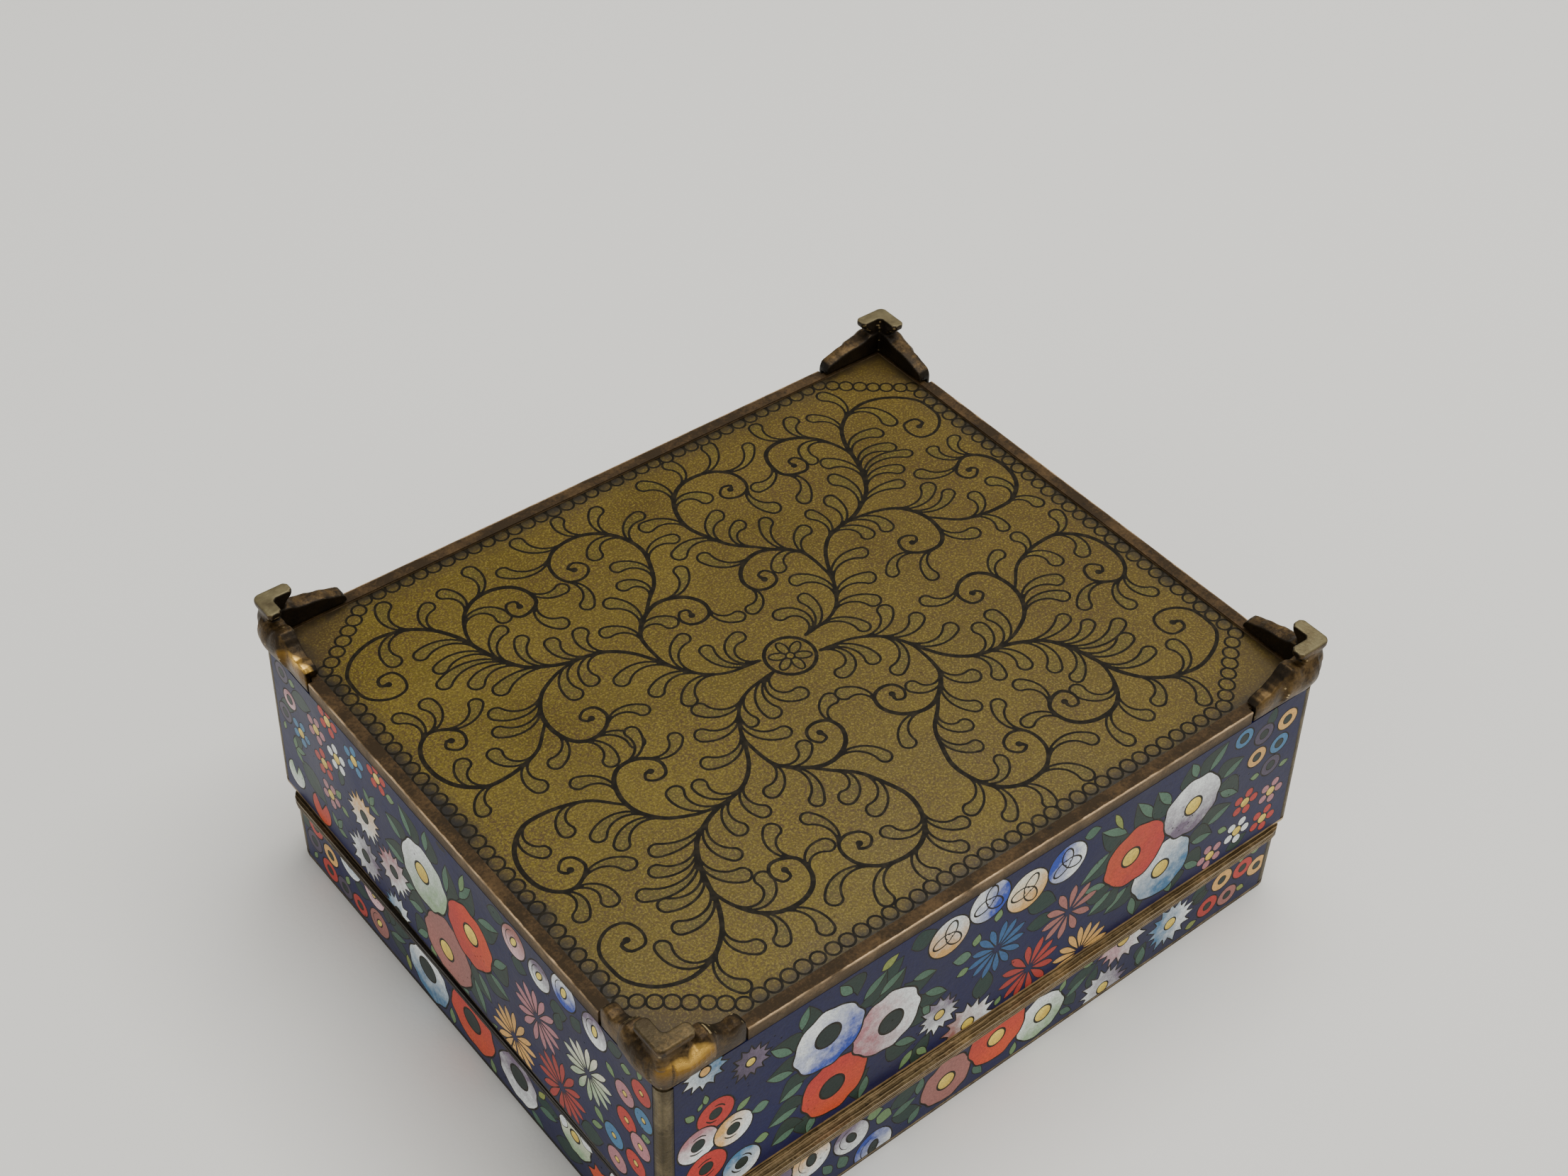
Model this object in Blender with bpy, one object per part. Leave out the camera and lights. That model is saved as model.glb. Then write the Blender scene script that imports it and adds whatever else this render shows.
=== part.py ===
"""A footed cloisonne enamel box, lying upside down on its lid.

Metres, +Z up. The rim of the lid's top lies at Z = 0 and the feet point up. X runs along the
longer side. The lid sits a little turned and shifted on the body, as a loose lid does. The origin
is under the middle of the whole, lid and feet together.
"""

import math

import bpy
import bmesh

# Clearance between neighbouring pieces
GAP = 0.0003

# Body
BODY_LENGTH = 0.1100
BODY_WIDTH = 0.0928
BODY_HEIGHT = 0.0292
BODY_FLARE = 0.00055  # each side stands this much further out at the mouth
CORNER_RADIUS = 0.0013
BODY_WALL = 0.0018
BODY_FLOOR = 0.0024

# Brass angle round the base
BASE_RIM_DEPTH = 0.0021
BASE_RIM_FLANGE = 0.0019
BASE_RIM_LEG = 0.0006
BASE_RIM_THICKNESS = 0.0005
PLATE_DROP = 0.0004  # the enamelled base plate lies this far below the rim's face

# Brass rim and collar at the body's mouth
MOUTH_RIM_HEIGHT = 0.0005
COLLAR_PLAY = 0.0027  # to the lid's inner wall all round, when the lid is centred
COLLAR_THICKNESS = 0.0008
COLLAR_REACH = 0.0040

# Brass corner strips, on the body and on the lid
STRIP_WIDTH = 0.00175
STRIP_THICKNESS = 0.0005

# Lid
LID_SETBACK_X = 0.0011  # the lid's ends stand this far inside the edge of the body's mouth
LID_SETBACK_Y = 0.0007
LID_HEIGHT = 0.0104  # top face to the mouth rim
LID_CORNER_RADIUS = 0.0022
LID_WALL = 0.0016
LID_TOP = 0.0022
LID_RECESS = 0.00015  # the enamelled top lies this far inside its rim's face
LID_STRIP_WIDTH = 0.0026
LID_TURN = math.radians(0.68)
LID_SHIFT_X = -0.00105

# Brass angle round the lid's top
TOP_RIM_DEPTH = 0.0008
TOP_RIM_FLANGE = 0.0016
TOP_RIM_LEG = 0.0005
TOP_RIM_THICKNESS = 0.0004

# Grooved brass rim at the lid's mouth
LID_RIM_HEIGHT = 0.00135
LID_RIM_PROUD = 0.00035
GROOVE_DEPTH = 0.00012
GROOVE_WIDTH = 0.00022

# Cast bracket feet
FOOT_HEIGHT = 0.0064
FOOT_WING = 0.0123
FOOT_THICKNESS = 0.0019
FOOT_BULGE = 0.0016
SHOULDER_HEIGHT = 0.0045
TREAD_LENGTH = 0.0052
TREAD_WIDTH = 0.0021
TREAD_PROUD = 0.0005
TREAD_RADIUS = 0.0008
TREAD_DEPTH = 0.0009
ANKLE_LENGTH = 0.0038

# A wing's upper edge, as shares of its length and of the shoulder's height
WING_EDGE = (
    (0.31, 0.90),
    (0.37, 0.87),
    (0.45, 0.98),
    (0.53, 1.00),
    (0.60, 0.84),
    (0.65, 0.64),
    (0.73, 0.49),
    (0.81, 0.51),
    (0.89, 0.65),
    (0.95, 0.62),
    (1.00, 0.45),
)

# How far the foot stands out along a wing, as shares of its length and of the bulge
WING_SWELL = (
    (0.00, 1.00),
    (0.37, 0.94),
    (0.60, 0.72),
    (0.65, 0.24),
    (1.00, 0.12),
)

# The knee's section, as shares of its height from the skirt and of how far it stands out
KNEE_SECTION = (
    (0.00, 0.00),
    (0.20, 0.50),
    (0.40, 0.86),
    (0.58, 1.00),
    (0.78, 0.88),
    (1.00, 0.50),
)

# The ankle and the tread: how far proud, the arm's length and its width, as shares of the
# tread's, or of the ankle's length for the first two
ANKLE_ROOT = (1.00, 0.98, 1.08)
ANKLE_WAIST = (0.50, 1.04, 0.94)
TREAD_NECK = (0.80, 0.93, 0.97)
ANKLE_START = 0.6  # the ankle starts inside the shoulder, at this share of its height
WAIST_RISE = 0.5  # the waist's share of the way from the shoulder to the tread
LIP_DROP = 0.6  # the tread's edge runs this share of its depth below its face

# Fineness of the faceting
CORNER_STEPS = 4
NOTCH_OVERRUN = 0.0002
SEAT_OVERRUN = 0.0020
MERGE_DISTANCE = 0.00001
TIGHTEST_RADIUS = 0.0001

LID_LENGTH = BODY_LENGTH + 2 * (BODY_FLARE - LID_SETBACK_X)
LID_WIDTH = BODY_WIDTH + 2 * (BODY_FLARE - LID_SETBACK_Y)

# Heights of the stack, from the lid's top face upwards
LID_RIM_BOTTOM = LID_HEIGHT + GAP
LID_RIM_TOP = LID_RIM_BOTTOM + LID_RIM_HEIGHT
MOUTH_Z = LID_RIM_TOP + GAP
WALL_BOTTOM = MOUTH_Z + MOUTH_RIM_HEIGHT + GAP
BASE_Z = MOUTH_Z + BODY_HEIGHT
WALL_TOP = BASE_Z - BASE_RIM_DEPTH - GAP
PLATE_Z = BASE_Z - PLATE_DROP

# The collar reaches into the lid, clear of its inner wall
COLLAR_INSET_X = LID_SETBACK_X + LID_WALL + COLLAR_PLAY
COLLAR_INSET_Y = LID_SETBACK_Y + LID_WALL + COLLAR_PLAY

# The lid lies as far to the front as its turn lets the collar go
LID_SHIFT_Y = GAP + LID_LENGTH / 2 * math.sin(LID_TURN) - COLLAR_PLAY

CORNERS = {
    "front": (-1, -1),
    "right": (1, -1),
    "back": (1, 1),
    "left": (-1, 1),
}


def material(name, colour, roughness, metallic):
    made = bpy.data.materials.new(name)
    made.use_nodes = True
    shader = made.node_tree.nodes["Principled BSDF"]
    shader.inputs["Base Color"].default_value = (*colour, 1.0)
    shader.inputs["Roughness"].default_value = roughness
    shader.inputs["Metallic"].default_value = metallic
    return made


def add_object(name, mesh_data, look):
    made = bpy.data.objects.new(name, mesh_data)
    made.data.materials.append(look)
    bpy.context.scene.collection.objects.link(made)
    return made


def skin(name, loops, look, closed=False):
    """Joins loops of equally many points by quads. Open ends get a flat cap each."""
    mesh = bmesh.new()
    rings = [[mesh.verts.new(point) for point in loop] for loop in loops]
    pairs = list(zip(rings, rings[1:]))
    if closed:
        pairs.append((rings[-1], rings[0]))
    count = len(rings[0])
    for low, high in pairs:
        for i in range(count):
            j = (i + 1) % count
            mesh.faces.new((low[i], low[j], high[j], high[i]))
    if not closed:
        mesh.faces.new(rings[0])
        mesh.faces.new(rings[-1])
    bmesh.ops.remove_doubles(mesh, verts=mesh.verts, dist=MERGE_DISTANCE)
    bmesh.ops.recalc_face_normals(mesh, faces=mesh.faces)
    data = bpy.data.meshes.new(name)
    mesh.to_mesh(data)
    mesh.free()
    return add_object(name, data, look)


def rounded_rectangle(half_x, half_y, radius, z):
    """Points of a rounded rectangle round the Z axis, anticlockwise from above."""
    points = []
    for quarter, (sign_x, sign_y) in enumerate(((1, 1), (-1, 1), (-1, -1), (1, -1))):
        centre_x = sign_x * (half_x - radius)
        centre_y = sign_y * (half_y - radius)
        for step in range(CORNER_STEPS + 1):
            angle = (quarter + step / CORNER_STEPS) * math.pi / 2
            points.append(
                (centre_x + radius * math.cos(angle), centre_y + radius * math.sin(angle), z)
            )
    return points


def inset_loop(half_x, half_y, radius, inset_x, inset_y, z):
    """A loop inside the outline, with tighter corners."""
    new_radius = max(radius - min(inset_x, inset_y), TIGHTEST_RADIUS)
    return rounded_rectangle(half_x - inset_x, half_y - inset_y, new_radius, z)


def body_half(z):
    """Half the body's length and width at a height, flaring towards the mouth."""
    flare = BODY_FLARE * (BASE_Z - z) / BODY_HEIGHT
    return BODY_LENGTH / 2 + flare, BODY_WIDTH / 2 + flare


def body_loop(inset_x, z, inset_y=None):
    half_x, half_y = body_half(z)
    return inset_loop(
        half_x, half_y, CORNER_RADIUS, inset_x, inset_x if inset_y is None else inset_y, z
    )


def lid_loop(inset, z):
    return inset_loop(LID_LENGTH / 2, LID_WIDTH / 2, LID_CORNER_RADIUS, inset, inset, z)


def angle_outline(corner, signs, radius, width, thickness, z):
    """The plan of a strip bent round a corner: outer side, then inner side."""
    sign_x, sign_y = signs
    points = []
    inner_radius = max(radius - thickness, TIGHTEST_RADIUS)
    sides = ((0.0, radius, 1), (thickness, inner_radius, -1))
    for inset, bend, direction in sides:
        centre = inset + bend
        run = [(width, inset)]
        for step in range(CORNER_STEPS + 1):
            angle = step / CORNER_STEPS * math.pi / 2
            run.append((centre - bend * math.sin(angle), centre - bend * math.cos(angle)))
        run.append((inset, width))
        points.extend(run[::direction])
    return [(sign_x * (corner[0] - x), sign_y * (corner[1] - y), z) for x, y in points]


def notch(target, name, corner_at, signs, radius, width, low, high, look):
    """Cuts the seat of a corner strip out of a wall."""
    loops = []
    for z in (low, high):
        # The cutter's outer side stands clear of the wall by one clearance.
        far = tuple(value + GAP for value in corner_at(z))
        depth = STRIP_THICKNESS + 2 * GAP
        loops.append(angle_outline(far, signs, radius + GAP, width + 2 * GAP, depth, z))
    cutter = skin(name, loops, look)
    cutter.hide_render = True
    cutter.display_type = "WIRE"
    cut = target.modifiers.new(name, "BOOLEAN")
    cut.operation = "DIFFERENCE"
    cut.solver = "EXACT"
    cut.object = cutter
    return cutter


def build_body(enamel, brass):
    inner_floor = PLATE_Z - BODY_FLOOR
    rim_seat = BASE_RIM_FLANGE + GAP
    leg_seat = BASE_RIM_LEG + GAP
    body = skin(
        "body",
        [
            body_loop(rim_seat, PLATE_Z),
            body_loop(rim_seat, BASE_Z - BASE_RIM_THICKNESS - GAP),
            body_loop(leg_seat, BASE_Z - BASE_RIM_THICKNESS - GAP),
            body_loop(leg_seat, WALL_TOP),
            body_loop(0.0, WALL_TOP),
            body_loop(0.0, WALL_BOTTOM),
            body_loop(BODY_WALL, WALL_BOTTOM),
            body_loop(BODY_WALL, inner_floor),
        ],
        enamel,
    )
    for name, signs in CORNERS.items():
        notch(
            body,
            f"body_notch_{name}",
            body_half,
            signs,
            CORNER_RADIUS,
            STRIP_WIDTH,
            WALL_BOTTOM - NOTCH_OVERRUN,
            WALL_TOP + NOTCH_OVERRUN,
            brass,
        )
        loops = [
            angle_outline(body_half(z), signs, CORNER_RADIUS, STRIP_WIDTH, STRIP_THICKNESS, z)
            for z in (WALL_BOTTOM, WALL_TOP)
        ]
        skin(f"body_corner_strip_{name}", loops, brass)


def build_base_rim(brass):
    """An angle round the base. Its upright leg stops at the feet, which cover the corners."""
    face_low = BASE_Z - BASE_RIM_THICKNESS
    rim = skin(
        "base_rim",
        [
            body_loop(0.0, BASE_Z),
            body_loop(BASE_RIM_FLANGE, BASE_Z),
            body_loop(BASE_RIM_FLANGE, face_low),
            body_loop(BASE_RIM_LEG, face_low),
            body_loop(BASE_RIM_LEG, BASE_Z - BASE_RIM_DEPTH),
            body_loop(0.0, BASE_Z - BASE_RIM_DEPTH),
        ],
        brass,
        closed=True,
    )
    half_x, half_y = body_half(BASE_Z - BASE_RIM_DEPTH)
    for name, (sign_x, sign_y) in CORNERS.items():
        reach = FOOT_WING + GAP
        seat = BASE_RIM_LEG + GAP
        plan = [
            (-SEAT_OVERRUN, -SEAT_OVERRUN),
            (reach, -SEAT_OVERRUN),
            (reach, seat),
            (seat, seat),
            (seat, reach),
            (-SEAT_OVERRUN, reach),
        ]
        loops = []
        for z in (BASE_Z - BASE_RIM_DEPTH - GAP, BASE_Z + GAP):
            loops.append([(sign_x * (half_x - x), sign_y * (half_y - y), z) for x, y in plan])
        cutter = skin(f"foot_seat_{name}", loops, brass)
        cutter.hide_render = True
        cutter.display_type = "WIRE"
        cut = rim.modifiers.new(cutter.name, "BOOLEAN")
        cut.operation = "DIFFERENCE"
        cut.solver = "EXACT"
        cut.object = cutter


def build_mouth_rim(brass):
    """The body's mouth edge, with the collar that reaches into the lid."""
    rim_top = MOUTH_Z + MOUTH_RIM_HEIGHT
    collar_end = MOUTH_Z - COLLAR_REACH
    inner_x = COLLAR_INSET_X + COLLAR_THICKNESS
    inner_y = COLLAR_INSET_Y + COLLAR_THICKNESS
    skin(
        "body_mouth_rim",
        [
            body_loop(0.0, rim_top),
            body_loop(0.0, MOUTH_Z),
            body_loop(COLLAR_INSET_X, MOUTH_Z, COLLAR_INSET_Y),
            body_loop(COLLAR_INSET_X, collar_end, COLLAR_INSET_Y),
            body_loop(inner_x, collar_end, inner_y),
            body_loop(inner_x, rim_top, inner_y),
        ],
        brass,
        closed=True,
    )


def build_lid(enamel, brass):
    """The lid and its brass, made centred and then placed together by an empty."""
    place = bpy.data.objects.new("lid_place", None)
    bpy.context.scene.collection.objects.link(place)
    made = []
    rim_seat = TOP_RIM_FLANGE + GAP
    leg_seat = TOP_RIM_LEG + GAP
    wall_low = TOP_RIM_DEPTH + GAP
    lid = skin(
        "lid",
        [
            lid_loop(rim_seat, LID_RECESS),
            lid_loop(rim_seat, TOP_RIM_THICKNESS + GAP),
            lid_loop(leg_seat, TOP_RIM_THICKNESS + GAP),
            lid_loop(leg_seat, wall_low),
            lid_loop(0.0, wall_low),
            lid_loop(0.0, LID_HEIGHT),
            lid_loop(LID_WALL, LID_HEIGHT),
            lid_loop(LID_WALL, LID_RECESS + LID_TOP),
        ],
        enamel,
    )
    made.append(lid)

    def lid_corner(z):
        return LID_LENGTH / 2, LID_WIDTH / 2

    for name, signs in CORNERS.items():
        made.append(
            notch(
                lid,
                f"lid_notch_{name}",
                lid_corner,
                signs,
                LID_CORNER_RADIUS,
                LID_STRIP_WIDTH,
                wall_low - NOTCH_OVERRUN,
                LID_HEIGHT + NOTCH_OVERRUN,
                brass,
            )
        )
        loops = [
            angle_outline(
                lid_corner(z), signs, LID_CORNER_RADIUS, LID_STRIP_WIDTH, STRIP_THICKNESS, z
            )
            for z in (wall_low, LID_HEIGHT)
        ]
        made.append(skin(f"lid_corner_strip_{name}", loops, brass))
    made.append(
        skin(
            "lid_top_rim",
            [
                lid_loop(0.0, 0.0),
                lid_loop(TOP_RIM_FLANGE, 0.0),
                lid_loop(TOP_RIM_FLANGE, TOP_RIM_THICKNESS),
                lid_loop(TOP_RIM_LEG, TOP_RIM_THICKNESS),
                lid_loop(TOP_RIM_LEG, TOP_RIM_DEPTH),
                lid_loop(0.0, TOP_RIM_DEPTH),
            ],
            brass,
            closed=True,
        )
    )
    groove_z = LID_RIM_BOTTOM + LID_RIM_HEIGHT / 2
    outer = -LID_RIM_PROUD
    made.append(
        skin(
            "lid_mouth_rim",
            [
                lid_loop(LID_WALL, LID_RIM_BOTTOM),
                lid_loop(outer, LID_RIM_BOTTOM),
                lid_loop(outer, groove_z - GROOVE_WIDTH / 2),
                lid_loop(outer + GROOVE_DEPTH, groove_z),
                lid_loop(outer, groove_z + GROOVE_WIDTH / 2),
                lid_loop(outer, LID_RIM_TOP),
                lid_loop(LID_WALL, LID_RIM_TOP),
            ],
            brass,
            closed=True,
        )
    )
    for piece in made:
        piece.parent = place
    place.location = (LID_SHIFT_X, LID_SHIFT_Y, 0.0)
    place.rotation_euler = (0.0, 0.0, LID_TURN)


def read_line(pairs, share):
    """Reads a broken line of (place, value) pairs at a place."""
    for (x0, y0), (x1, y1) in zip(pairs, pairs[1:]):
        if share <= x1:
            return y0 + (y1 - y0) * max(0.0, (share - x0) / (x1 - x0))
    return pairs[-1][1]


def foot_section(share):
    """The foot's section as (out, height) pairs at a share of the wing's length."""
    low = -BASE_RIM_DEPTH
    top = SHOULDER_HEIGHT * read_line(WING_EDGE, share)
    bulge = FOOT_BULGE * read_line(WING_SWELL, share)
    section = [(-BASE_RIM_LEG, low)]
    for rise, out in KNEE_SECTION:
        section.append((out * bulge, low + rise * (top - low)))
    section.append((-FOOT_THICKNESS, top))
    section.append((-FOOT_THICKNESS, GAP))
    section.append((-BASE_RIM_LEG, GAP))
    return section


def wing_shares():
    """Where the foot gets a section: wherever one of its two broken lines bends."""
    shares = {share for share, value in WING_EDGE + WING_SWELL}
    return sorted(share for share in shares if share > 0)


def corner_arc(radius, out, turn):
    """A point of the plan round the corner, as distances in from the outline's two sides."""
    if radius + out <= 0:
        return -out, -out
    angle = turn * math.pi / 2
    reach = radius + out
    return radius - reach * math.sin(angle), radius - reach * math.cos(angle)


def foot_loop(place, corner, signs):
    """One section of the foot, on a wing or on the way round the corner."""
    kind, value = place
    points = []
    for out, height in foot_section(0.0 if kind == "corner" else value):
        along = value * FOOT_WING
        if kind == "x wing":
            x, y = along, -out
        elif kind == "y wing":
            x, y = -out, along
        else:
            x, y = corner_arc(CORNER_RADIUS, out, value)
        points.append((signs[0] * (corner[0] - x), signs[1] * (corner[1] - y), BASE_Z + height))
    return points


def column_loop(corner, signs, level):
    """The plan of the ankle or of the tread: two arms round the corner."""
    height, proud, arm, width = level
    inner = width - proud
    radius = TREAD_RADIUS - proud
    plan = [(arm, inner), (arm, -proud)]
    for step in range(CORNER_STEPS, -1, -1):
        plan.append(corner_arc(radius, proud, 1 - step / CORNER_STEPS))
    plan += [(-proud, arm), (inner, arm), (inner, inner)]
    return [
        (signs[0] * (corner[0] - x), signs[1] * (corner[1] - y), BASE_Z + height) for x, y in plan
    ]


def build_foot(name, signs, brass):
    """The shoulder with its two wings, joined with the ankle and its tread."""
    corner = body_half(BASE_Z)
    shares = wing_shares()
    places = [("x wing", share) for share in reversed(shares)]
    places += [("corner", 1 - step / CORNER_STEPS) for step in range(CORNER_STEPS, -1, -1)]
    places += [("y wing", share) for share in shares]
    foot = skin(f"foot_{name}", [foot_loop(place, corner, signs) for place in places], brass)
    neck = FOOT_HEIGHT - TREAD_DEPTH
    levels = []
    for height, shares_here, length in (
        (SHOULDER_HEIGHT * ANKLE_START, ANKLE_ROOT, ANKLE_LENGTH),
        (SHOULDER_HEIGHT + (neck - SHOULDER_HEIGHT) * WAIST_RISE, ANKLE_WAIST, ANKLE_LENGTH),
        (neck, TREAD_NECK, TREAD_LENGTH),
        (FOOT_HEIGHT - TREAD_DEPTH * LIP_DROP, (1.0, 1.0, 1.0), TREAD_LENGTH),
        (FOOT_HEIGHT, (1.0, 1.0, 1.0), TREAD_LENGTH),
    ):
        proud, arm, width = shares_here
        levels.append((height, TREAD_PROUD * proud, length * arm, TREAD_WIDTH * width))
    column = skin(
        f"ankle_{name}", [column_loop(corner, signs, level) for level in levels], brass
    )
    column.hide_render = True
    column.display_type = "WIRE"
    join = foot.modifiers.new("ankle", "BOOLEAN")
    join.operation = "UNION"
    join.solver = "EXACT"
    join.object = column


def centre_over_origin():
    """Moves the whole box so that the middle of its bounding box is over the origin."""
    place = bpy.data.objects.new("box_place", None)
    pieces = list(bpy.data.objects)
    bpy.context.view_layer.update()
    points = [
        piece.matrix_world @ vertex.co
        for piece in pieces
        if piece.type == "MESH" and not piece.hide_render
        for vertex in piece.data.vertices
    ]
    middle = []
    for axis in (0, 1):
        places = [point[axis] for point in points]
        middle.append((min(places) + max(places)) / 2)
    bpy.context.scene.collection.objects.link(place)
    for piece in pieces:
        if piece.parent is None and piece is not place:
            piece.parent = place
    place.location = (-middle[0], -middle[1], 0.0)


def build():
    for old in list(bpy.data.objects):
        bpy.data.objects.remove(old, do_unlink=True)
    enamel = material("blue_enamel", (0.020, 0.026, 0.070), 0.22, 0.0)
    brass = material("old_brass", (0.26, 0.19, 0.085), 0.40, 1.0)
    cast_brass = material("cast_brass", (0.32, 0.23, 0.095), 0.34, 1.0)
    build_body(enamel, brass)
    build_base_rim(brass)
    build_mouth_rim(brass)
    build_lid(enamel, brass)
    for name, signs in CORNERS.items():
        build_foot(name, signs, cast_brass)
    centre_over_origin()


build()
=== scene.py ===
"""Looks of a footed cloisonne enamel box that lies upside down on its lid.

The enamelled faces are thin slabs whose fronts are cut into cells of enamel and wire. A layout
gives a face's motifs in millimetres, seen from outside. Everything else is in metres.
"""

import math
import random
from collections import namedtuple
from functools import partial

import bmesh
import bpy
from mathutils import Matrix, Vector
from mathutils.geometry import delaunay_2d_cdt


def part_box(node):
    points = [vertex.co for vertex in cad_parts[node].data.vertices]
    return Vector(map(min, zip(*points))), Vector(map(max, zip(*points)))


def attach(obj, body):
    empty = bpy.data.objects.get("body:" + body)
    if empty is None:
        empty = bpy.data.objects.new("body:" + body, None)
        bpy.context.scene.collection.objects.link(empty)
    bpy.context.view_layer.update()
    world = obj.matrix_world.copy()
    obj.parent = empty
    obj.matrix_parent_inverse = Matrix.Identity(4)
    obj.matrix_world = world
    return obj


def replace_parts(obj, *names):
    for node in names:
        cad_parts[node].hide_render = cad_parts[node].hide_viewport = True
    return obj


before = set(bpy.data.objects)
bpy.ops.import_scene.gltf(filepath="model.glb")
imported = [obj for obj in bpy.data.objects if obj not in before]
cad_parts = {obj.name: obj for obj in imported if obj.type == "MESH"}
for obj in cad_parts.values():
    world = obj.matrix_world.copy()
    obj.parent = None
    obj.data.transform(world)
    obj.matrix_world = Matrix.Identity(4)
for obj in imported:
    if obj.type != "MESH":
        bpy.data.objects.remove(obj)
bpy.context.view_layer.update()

MM = 0.001

# Camera: the photograph's viewing angle
CAMERA_AT = (-0.142897, -0.173685, 0.262562)
CAMERA_TURN = math.radians(-39.1586)
CAMERA_DIP = math.radians(42.8731)
CAMERA_ROLL = math.radians(1.5137)
CAMERA_LENS = 53.164
CAMERA_SENSOR = 36.0

# Sizes that repeat the solids' own
BASE_RIM_FLANGE = 0.0019
BASE_RIM_DEPTH = 0.0021
MOUTH_RIM_HEIGHT = 0.0005
STRIP_WIDTH = 0.00175
LID_STRIP_WIDTH = 0.0026
LID_CORNER_RADIUS = 0.0022
LID_TURN = math.radians(0.68)
TOP_RIM_DEPTH = 0.0008

# Enamel slabs
SLAB_PROUD = 0.00003
SLAB_DEPTH = 0.00034
SEAM = 0.00003
CELL_GRAIN = 1e-4  # how near two places count as one, in millimetres
ARRIS_WIDTH = 0.00014

# Wire widths, in millimetres
WIRE = 0.24
FINE_WIRE = 0.15
SCROLL_WIRE = 0.37

# Outlines
SHARPEST = 0.2  # corners sharper than this are left out of a moved outline
LEAST_COSINE = 0.45
MITRE_LIMIT = 1.8
LEAST_AREA = 1e-4
LENS_STEPS = 9
PETAL_STEPS = 8
BLOOM_STEPS = 64
BLOOM_WAVES = (0.024, 0.018, 0.012)  # a scalloped edge's swells, as shares of the radius
BLOOM_WIRE = WIRE * 1.25
LEAF_BEND = 0.35
# A tooth of a saw-toothed edge: shares of its width and of the flower's radius
TOOTH = ((-0.5, 0.70), (-0.36, 0.74), (-0.12, 0.90), (0.0, 1.0), (0.12, 0.87), (0.36, 0.73))

# Specular levels and depths of relief
ENAMEL_SHINE = 0.14
SCROLL_SHINE = 0.22
WIRE_SHINE = 0.12
BRASS_SHINE = 0.2
RIM_SHINE = 0.15
BRASS_DEPTH = 0.00012
ENAMEL_DEPTH = 0.00006
WIRE_DEPTH = 0.00004
BUMP_STRENGTH = 0.6

# Tones in linear light
PIT_TONE = (0.025, 0.022, 0.018)
WIRE_STAIN = (0.060, 0.045, 0.018)

# Enamel colours as the photograph shows them, in sRGB
COLOURS = {
    "ground": (32, 36, 82),
    "ground 2": (38, 40, 76),
    "dark leaf": (42, 66, 60),
    "dark leaf 2": (46, 62, 54),
    "light leaf": (94, 122, 104),
    "light leaf 2": (80, 108, 92),
    "red": (172, 68, 60),
    "orange": (186, 86, 54),
    "pink": (168, 124, 130),
    "pale pink": (200, 172, 176),
    "dusty pink": (154, 110, 104),
    "tan": (198, 162, 104),
    "yellow": (216, 198, 106),
    "deep yellow": (196, 170, 84),
    "light blue": (78, 122, 154),
    "steel blue": (62, 100, 138),
    "brick": (160, 70, 64),
    "blue": (50, 78, 160),
    "white": (208, 212, 212),
    "warm white": (206, 204, 190),
    "lavender": (118, 106, 124),
    "grey purple": (84, 76, 94),
    "pale green": (150, 172, 142),
    "sage": (112, 136, 98),
    "yellow green": (134, 144, 82),
    "dark centre": (40, 54, 50),
    "wire": (40, 36, 28),
    "scroll ground": (100, 88, 22),
    "scroll ground 2": (90, 76, 20),
    "scroll leaf": (94, 84, 28),
    "scroll leaf 2": (84, 77, 27),
    "scroll corner": (80, 66, 22),
    "scroll wire": (26, 21, 5),
}
ENAMEL_GAIN = 1.46  # from the photograph's colour to the enamel's own
ENAMEL_CONTRAST = 1.25
BRIGHTEST = 0.9

Fill = namedtuple("Fill", "slot tone_a tone_b axis shift")


def linear(name):
    """A named colour in linear light."""
    values = []
    for channel in COLOURS[name]:
        share = channel / 255
        value = share / 12.92 if share <= 0.04045 else ((share + 0.055) / 1.055) ** 2.4
        values.append(min(value ** ENAMEL_CONTRAST * ENAMEL_GAIN, BRIGHTEST))
    return tuple(values)


def fill(first, second=None, centre=(0.0, 0.0), angle=0.0, reach=1.0):
    """Enamel that passes from one colour to another across a motif."""
    way = math.radians(angle)
    axis = (math.cos(way) / (2 * reach), math.sin(way) / (2 * reach))
    shift = 0.5 - centre[0] * axis[0] - centre[1] * axis[1]
    return Fill(0, linear(first), linear(second or first), axis, shift)


WIRE_FILL = Fill(1, linear("wire"), linear("wire"), (0.0, 0.0), 0.5)
SCROLL_WIRE_FILL = Fill(1, linear("scroll wire"), linear("scroll wire"), (0.0, 0.0), 0.5)


def signed_area(points):
    return sum(a[0] * b[1] - a[1] * b[0] for a, b in zip(points, points[1:] + points[:1])) / 2


def polar(centre, reach, way):
    """The place at a distance from a centre, in a direction in radians."""
    return (centre[0] + reach * math.cos(way), centre[1] + reach * math.sin(way))


def square_to(way):
    """The unit vector to the right of a way."""
    return Vector((way.y, -way.x)).normalized()


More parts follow.
